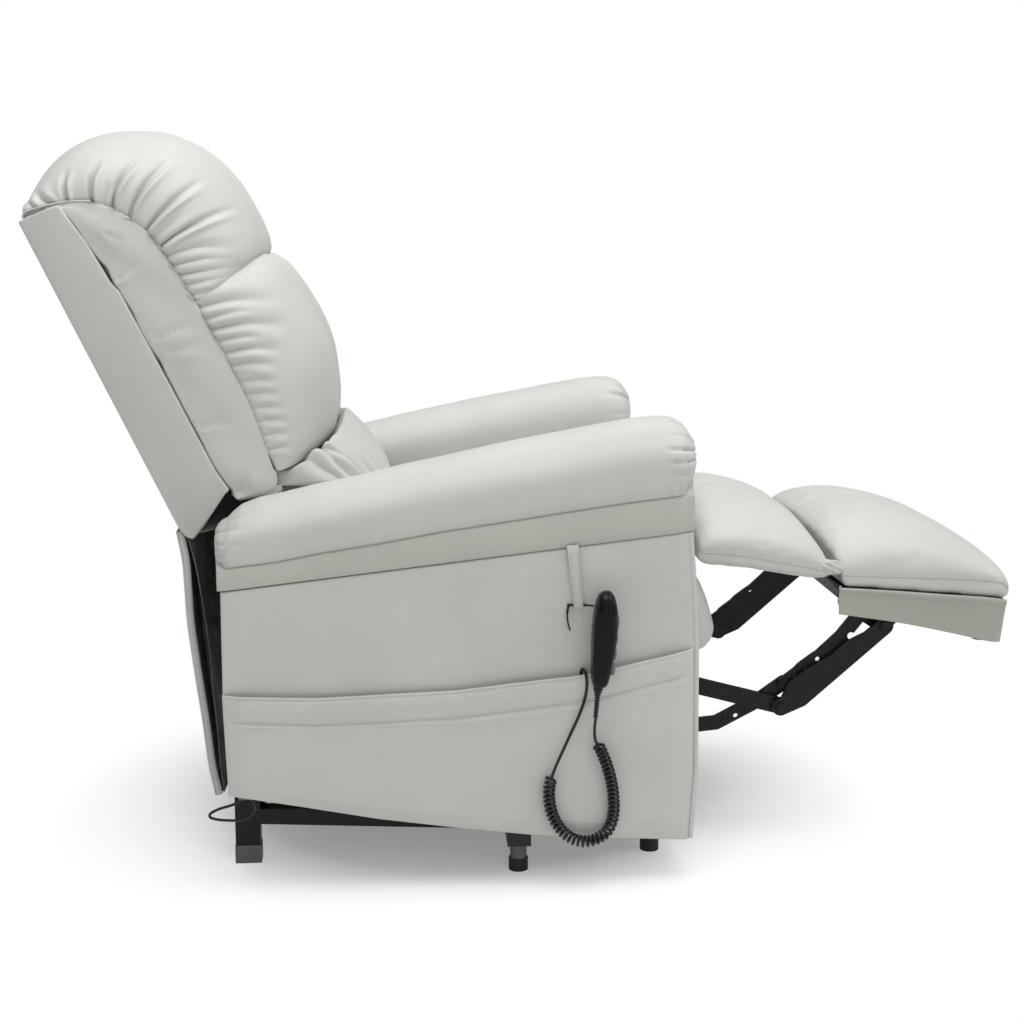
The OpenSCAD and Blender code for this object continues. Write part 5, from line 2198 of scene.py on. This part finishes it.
            def place(u: float, v: float) -> Vector:
                """Position from the leg pad to the foot cushion and round the small roll.

                Args:
                    u: share of the first way, from 0 to 1.
                    v: share of the second way, from 0 to 1.

                Returns:
                    The place in metres.
                """
                a = 2 * math.pi * v
                x = mix(418, 452, u)
                swell = 0.45 + 0.55 * math.sin(math.pi * u) ** 0.5
                wrinkle = 1 + 0.16 * math.sin(7 * a + 9 * u) + 0.10 * math.sin(15 * u + 3 * a)
                r = 8.2 * swell * wrinkle
                z = mix(422, 418, u) + 1.25 * r * math.sin(a)
                return at(x, sign * (231.0 + 0.9 * r * math.cos(a)), z)

            bm = skin(even(30), even(48), place, closed=True, capped=True)
            obj = piece(bm, f"bridge_knot_{side.label}", LEATHER, "", ())
            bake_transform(obj)
            strap = [(427, 404), (434, 398), (441, 392), (447, 384)]

            def web(u: float, v: float) -> Triple:
                """Position along the web and across it."""
                x, z = curve_at(strap, u)
                return (x, sign * mix(214, 238, v), z)

            bm = rolled_panel(web, width=28, height=24, roll=0.6, out=Vector((-0.6, 0, -0.8)),
                              thick=1.4, nu=10, nv=6)
            tape = piece(bm, f"bridge_web_{side.label}", HOOK_TAPE, "")
            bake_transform(tape)

    def build(self) -> None:
        """Makes every pad."""
        self.seat()
        self.apron()
        self.leg()
        self.foot()
        self.valance()
        self.knots()


# -------------------------------------------------------------- rear flap


@dataclass
class RearFlap:
    """Leather flap behind the chair with a dark lining, rolled hems and hook tape."""

    half: float = 282.0
    line: Tuple[Pair, ...] = (
        (-515.3, 495.6), (-509.8, 455.6), (-507.2, 412), (-504.5, 369), (-499.4, 318), (-494, 267),
        (-487, 215), (-480.4, 163), (-475.5, 136), (-470.7, 110))

    def build(self) -> None:
        """Makes the flap, its lining and its tapes."""
        def sheet(u: float, v: float, inner: float, ripple: float) -> Triple:
            """Position from side to side and from the top down.

            Args:
                u: share of the first way, from 0 to 1.
                v: share of the second way, from 0 to 1.
                inner: distance from the flap's line.
                ripple: height of the waves.

            Returns:
                The place as (x, y, z) in millimetres.
            """
            x, z = curve_at(self.line, v)
            y = mix(-self.half, self.half, u)
            wave = ripple * math.sin(v * 3.1) * (math.sin(y / 60) + 0.6 * math.sin(y / 23 + 4 * v))
            edge = math.exp(-min(u, 1 - u) * 22)
            return (x + inner + wave + 1.5 * edge * math.sin(4.2 * v + 0.6), y, z)

        out = Vector((-0.99, 0, -0.12))
        outer = rolled_panel(lambda u, v: sheet(u, v, 0, 1.6), width=564, height=392, roll=1.6,
                             out=out, thick=1.8, nu=120, nv=80)
        obj = piece(outer, "flap_leather", LEATHER, "rear_flap", ["rear_flap"])

        def behind(u: float, v: float) -> Triple:
            """Position on the lining from side to side and from the top down."""
            return sheet(mix(0.01, 0.99, u), mix(0.01, 0.985, v), 13.5, 9.0)

        inner = rolled_panel(behind, width=552, height=384, roll=1.0, out=-out, thick=0.8, nu=150,
                             nv=90)
        lining = piece(inner, "flap_lining", LINING, "rear_flap")
        hems = []
        for side in Side:
            u = 0.5 + side.value * 0.4895
            edge = [at(*sheet(u, k / 40, 5.2 + 0.8 * math.sin(k / 3.1), 0.0)) for k in range(41)]
            hems.append(tube(edge, radius=0.0056, sides=12))
        low = [at(*sheet(mix(0.01, 0.99, s), 0.993, 2.2, 1.6)) for s in even(60)]
        hems.append(tube(low, radius=0.0028, sides=10))
        piece(merged(hems), "flap_hems", LEATHER, "rear_flap")
        tapes = []
        for side in Side:
            def tape(u: float, v: float) -> Triple:
                """Position across the tape and down it."""
                x, _, z = sheet(0.5, mix(0.86, 0.985, v), 11.5, 0)
                return (x, side.value * mix(256, 275, u), z)
            tapes.append(rolled_panel(tape, width=19, height=48, roll=0.8, out=-out, thick=3.4,
                                      nu=8, nv=14))
        piece(merged(tapes), "flap_hook_tape", HOOK_TAPE, "rear_flap")


# ----------------------------------------------------------------- handset


@dataclass
class Handset:
    """Glossy handset shells, the wire hook's tail and the buttons' collars."""

    centre: Triple = (71, -409, 354)
    lean: float = 4.6
    rows: Tuple[float, ...] = (34, 12, -10, -32)
    profile: Tuple[Triple, ...] = (
        (-56, 8.6, 8.6), (-54, 10.0, 9.8), (-50, 11.2, 11.0), (-44, 12.2, 12.0), (-35, 13.4, 13.0),
        (-20, 15.2, 14.4), (0, 17.2, 15.6), (18, 17.8, 16.4), (32, 17.6, 16.6), (50, 15.6, 15.6),
        (62, 12.4, 13.8), (70, 9.4, 11.4), (75, 5.0, 6.0), (76.2, 1.0, 1.5))
    widths: Tuple[Pair, ...] = (
        (-56, 12.5), (-54, 15), (-50, 17.4), (-40, 20.6), (-20, 22.4), (20, 23.6), (50, 24),
        (60, 21.5), (68, 16.5), (74, 10), (76.2, 4))

    def hung(self, p: Vector) -> Vector:
        """Carries a place on the upright handset to where it hangs.

        Args:
            p: the place on the upright handset, in millimetres.

        Returns:
            The place in metres.
        """
        b = math.radians(self.lean)
        x = p.x * math.cos(b) + p.z * math.sin(b)
        z = -p.x * math.sin(b) + p.z * math.cos(b)
        return at(self.centre[0] + x, self.centre[1] + p.y, self.centre[2] + z)

    def shell(self, front: bool) -> Work:
        """One half of the housing.

        Args:
            front: whether it is the half with the buttons.

        Returns:
            The closed mesh.
        """
        sign = 1 if front else -1
        zs = [p[0] for p in self.profile]
        depth = [p[1 if front else 2] for p in self.profile]
        wz, ww = [p[0] for p in self.widths], [p[1] for p in self.widths]
        gap = 0.12

        def place(u: float, v: float) -> Vector:
            """Position up the handset and round the half section.

            Args:
                u: share of the first way, from 0 to 1.
                v: share of the second way, from 0 to 1.

            Returns:
                The place in metres.
            """
            z = mix(-56, 76.2, 0.5 - 0.5 * math.cos(math.pi * u))
            d, w = float(np.interp(z, zs, depth)), float(np.interp(z, wz, ww))
            if v > 0.8:
                y = mix(-1, 1, (v - 0.8) / 0.2) * (w - 0.7)
                return self.hung(Vector((sign * gap, y, z)))
            a = v / 0.8 * math.pi
            c, s = math.cos(a), math.sin(a)
            y = w * math.copysign(abs(c) ** 0.62, c)
            return self.hung(Vector((sign * (gap + (d - gap) * abs(s) ** 0.72), y, z)))

        return skin(even(80), even(60), place, closed=True, capped=True)

    def build(self) -> None:
        """Makes the shells with their wells, the collars, the relief and the hook's tail."""
        front = piece(self.shell(True), "handset_shell_front", GLOSS, "chair", ["handset_front"])
        piece(self.shell(False), "handset_shell_back", GLOSS, "chair", ["handset_back"])
        centre = self.hung(Vector())
        axis = (self.hung(Vector((1, 0, 0))) - centre).normalized()
        cutters = []
        collars = []
        for z in self.rows:
            well = lathe([(0, -11.5), (7.4, -11.5), (7.4, 16), (0, 16)], sides=40)
            cutters.append(turned(well, self.hung(Vector((15.5, 0, z))), axis))
            rim = lathe(
                [(7.0, -4.0), (7.0, 1.6), (7.4, 2.1), (8.1, 2.2), (8.7, 1.7), (8.8, -2.4)],
                sides=40)
            collars.append(turned(rim, self.hung(Vector((16.2, 0, z))), axis))
        helper = placed("wells", baked(merged(cutters), "wells"))
        cut = front.modifiers.new("wells", "BOOLEAN")
        cut.operation = "DIFFERENCE"
        cut.object = helper
        front.data = applied(front)
        bpy.data.objects.remove(helper)
        piece(merged(collars), "handset_collars", GREY_CAP, "chair")
        relief_rings = [(2.3, -26), (3.7, -26)]
        for k in range(11):
            h = -24 + 4.2 * k
            r = 2.9 + 0.08 * k + 3.4 * float(ease(6, 10, k))
            relief_rings += [(r, h - 1.4), (r + 0.4, h - 1.0), (r + 0.4, h + 0.8),
                             (r - 0.5, h + 1.2), (r - 0.5, h + 2.4)]
        relief_rings += [(7.6, 21), (2.3, 21)]
        up = (self.hung(Vector((0, 0, 1))) - centre).normalized()
        boot = turned(lathe(relief_rings, sides=28), self.hung(Vector((-1, 0, -75))), up)
        piece(boot, "handset_boot", JACKET, "chair", ["handset_relief"])
        bend = ((25, -381, 392), (25.4, -381.6, 384), (27, -382, 376), (29, -382, 369))
        tail = [at(*curve_at(bend, s)) for s in even(12)]
        piece(tube(tail, radius=0.0011, sides=10), "hook_tail", STEEL, "chair")


# --------------------------------------------------------- steel and motors


@dataclass
class Mechanism:
    """Finishes of the bare structure, with rivet heads added."""

    finishes: Tuple[Tuple[Finish, str], ...] = (
        (STEEL, "base_side_rails base_cross_tubes base_rear_legs base_brackets lift_arms "
                "lift_rear_links seat_side_plates seat_cross_tubes back_brackets "
                "footrest_drive_links footrest_rear_links footrest_cross_links "
                "footrest_long_arms footrest_short_arms foot_board foot_brackets handset_hook"),
        (COLLARED_CAP, "base_end_caps"),
        (RUBBER, "base_feet foot_bumpers"),
        (GRAINED, "lift_motor recline_motor footrest_motor"),
        (ZINC, "lift_rod recline_rod footrest_rod seat_springs"),
        (WOOD, "seat_box arm_frames back_frame"),
        (GREY_BUTTON, "button_raise button_lower button_recline button_return"))
    rivets: Tuple[Tuple[str, float, float, float], ...] = (
        ("footrest_long", 467.4, 290.0, 238.5), ("footrest_long", 383.0, 222.0, 238.5),
        ("footrest_drive", 352.0, 214.0, 230.0), ("footrest_drive", 329.0, 226.0, 230.0),
        ("footrest_short", 384.0, 253.0, 230.0), ("footrest_short", 400.0, 264.0, 230.0),
        ("footrest_drive", 270.0, 238.5, 230.0), ("footrest_cross", 280.0, 189.0, 224.0),
        ("footrest_rear", 170.0, 191.0, 230.0))

    def dress(self) -> None:
        """Puts each finish on its nodes."""
        for finish, names in self.finishes:
            for name in names.split():
                materials = bpy.data.objects[name].data.materials
                materials.clear()
                materials.append(finish.material())

    def heads(self) -> None:
        """Low rivet heads on the links, in one piece for each body."""
        low_dome = ((0, 1.5), (1.6, 1.4), (3.0, 1.0), (3.8, 0.3), (4.0, -0.4), (0, -0.4))
        by_body: Dict[str, List[Work]] = {}
        for body, x, z, y in self.rivets:
            for sign in (-1, 1):
                head = turned(lathe(low_dome, sides=20), at(x, sign * y, z), Vector((0, sign, 0)))
                by_body.setdefault(body, []).append(head)
        for body, heads in by_body.items():
            piece(merged(heads), f"rivet_heads_{body}", STEEL, body)

    def build(self) -> None:
        """Dresses the structure and adds the rivet heads."""
        self.dress()
        self.heads()


# ------------------------------------------------------------------- studio


@dataclass
class Studio:
    """Pale floor, soft lamps and the camera."""

    pixels: int = 1024
    sensor: float = 36.0
    focal: float = 1620.0
    eye: Triple = (-0.2120, -2.5054, 0.9110)
    pitch: float = 9.8748
    turn: float = -4.2778

    def camera(self) -> None:
        """Stands the camera level with the back's upper half, looking slightly down."""
        p, a = math.radians(self.pitch), math.radians(self.turn)
        right = Vector((math.cos(a), math.sin(a), 0))
        ahead = Vector((-math.sin(a) * math.cos(p), math.cos(a) * math.cos(p), -math.sin(p)))
        up = right.cross(ahead)
        data = bpy.data.cameras.new("camera")
        data.sensor_width = self.sensor
        data.lens = self.focal / self.pixels * self.sensor
        obj = placed("camera", data)
        turn = Matrix((right, up, -ahead)).transposed().to_4x4()
        obj.matrix_world = Matrix.Translation(Vector(self.eye)) @ turn
        bpy.context.scene.camera = obj

    def floor(self) -> None:
        """Large pale floor that keeps the shadow."""
        bm = bmesh.new()
        bmesh.ops.create_grid(bm, x_segments=1, y_segments=1, size=14.0)
        mesh = baked(bm, "studio_floor")
        obj = placed("studio_floor", mesh)
        bench = Bench("studio_floor")
        bench.fix(Base_Color=(0.86, 0.86, 0.86, 1), Roughness=0.9, Specular_IOR_Level=0.0)
        path = bench.add("LightPath")
        glow = bench.add("Emission", Color=(1, 1, 1, 1), Strength=0.24)
        white = bench.add("Emission", Color=(1, 1, 1, 1), Strength=1.0)
        both = bench.add("AddShader")
        fade = bench.add("MixShader")
        pick = bench.add("MixShader")
        away = bench.add("VectorMath", operation="DISTANCE")
        away.inputs[1].default_value = (-0.10, 0.05, 0.0)
        out = bench.tree.nodes["Material Output"]
        for source, target in (
                (bench.coords.outputs["Object"], away.inputs[0]),
                (bench.spread(away.outputs["Value"], 0.0, 1.0, 0.34, 0.66), fade.inputs[0]),
                (bench.shader.outputs[0], both.inputs[0]),
                (glow.outputs[0], both.inputs[1]),
                (both.outputs[0], fade.inputs[1]),
                (white.outputs[0], fade.inputs[2]),
                (self.seen(bench, path), pick.inputs[0]),
                (bench.shader.outputs[0], pick.inputs[1]),
                (fade.outputs[0], pick.inputs[2]),
                (pick.outputs[0], out.inputs["Surface"])):
            bench.link(source, target)
        mesh.materials.append(bench.material)

    def seen(self, bench: Bench, path: bpy.types.Node) -> bpy.types.NodeSocket:
        """1 where the camera, a gloss or a glass looks, else 0.

        Args:
            bench: lays out the nodes of the floor.
            path: the node that tells rays apart.

        Returns:
            The socket with the result.
        """
        first = bench.add("Math", operation="MAXIMUM")
        second = bench.add("Math", operation="MAXIMUM")
        bench.link(path.outputs["Is Camera Ray"], first.inputs[0])
        bench.link(path.outputs["Is Glossy Ray"], first.inputs[1])
        bench.link(first.outputs[0], second.inputs[0])
        bench.link(path.outputs["Is Transmission Ray"], second.inputs[1])
        return second.outputs[0]

    def light(self) -> None:
        """Even sky with a broad lamp above and a weak one in front."""
        world = bpy.data.worlds.new("studio")
        bpy.context.scene.world = world
        world.use_nodes = True
        tree = world.node_tree
        back = tree.nodes["Background"]
        back.inputs["Color"].default_value = (1, 1, 1, 1)
        path = tree.nodes.new("ShaderNodeLightPath")
        span = tree.nodes.new("ShaderNodeMapRange")
        span.inputs["To Min"].default_value = 0.42
        span.inputs["To Max"].default_value = 1.0
        tree.links.new(path.outputs["Is Camera Ray"], span.inputs["Value"])
        tree.links.new(span.outputs["Result"], back.inputs["Strength"])
        for name, spot, aim, size, power in (
                ("top_lamp", (0.1, -0.3, 3.4), (0, 0, 0.4), 3.0, 100.0),
                ("side_lamp", (2.6, -0.6, 2.2), (0, 0, 0.5), 2.0, 12.0),
                ("front_lamp", (0.6, -3.6, 2.2), (0, 0, 0.5), 2.4, 19.0)):
            data = bpy.data.lights.new(name, "AREA")
            data.shape = "SQUARE"
            data.size = size
            data.energy = power
            obj = placed(name, data)
            obj.location = spot
            way = Vector(aim) - Vector(spot)
            obj.rotation_euler = way.to_track_quat("-Z", "Y").to_euler()

    def build(self) -> None:
        """Sets the view and the lamps."""
        scene = bpy.context.scene
        scene.view_settings.view_transform = "Standard"
        self.camera()
        self.floor()
        self.light()


def main() -> None:
    """Builds the studio and every piece."""
    logging.basicConfig(level=logging.INFO, format="%(message)s")
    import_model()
    Studio().build()
    Cords().build()
    for part in (BackRest(), Arms(), Pads(), RearFlap(), Handset(), Mechanism()):
        part.build()


if __name__ == "__main__":
    main()
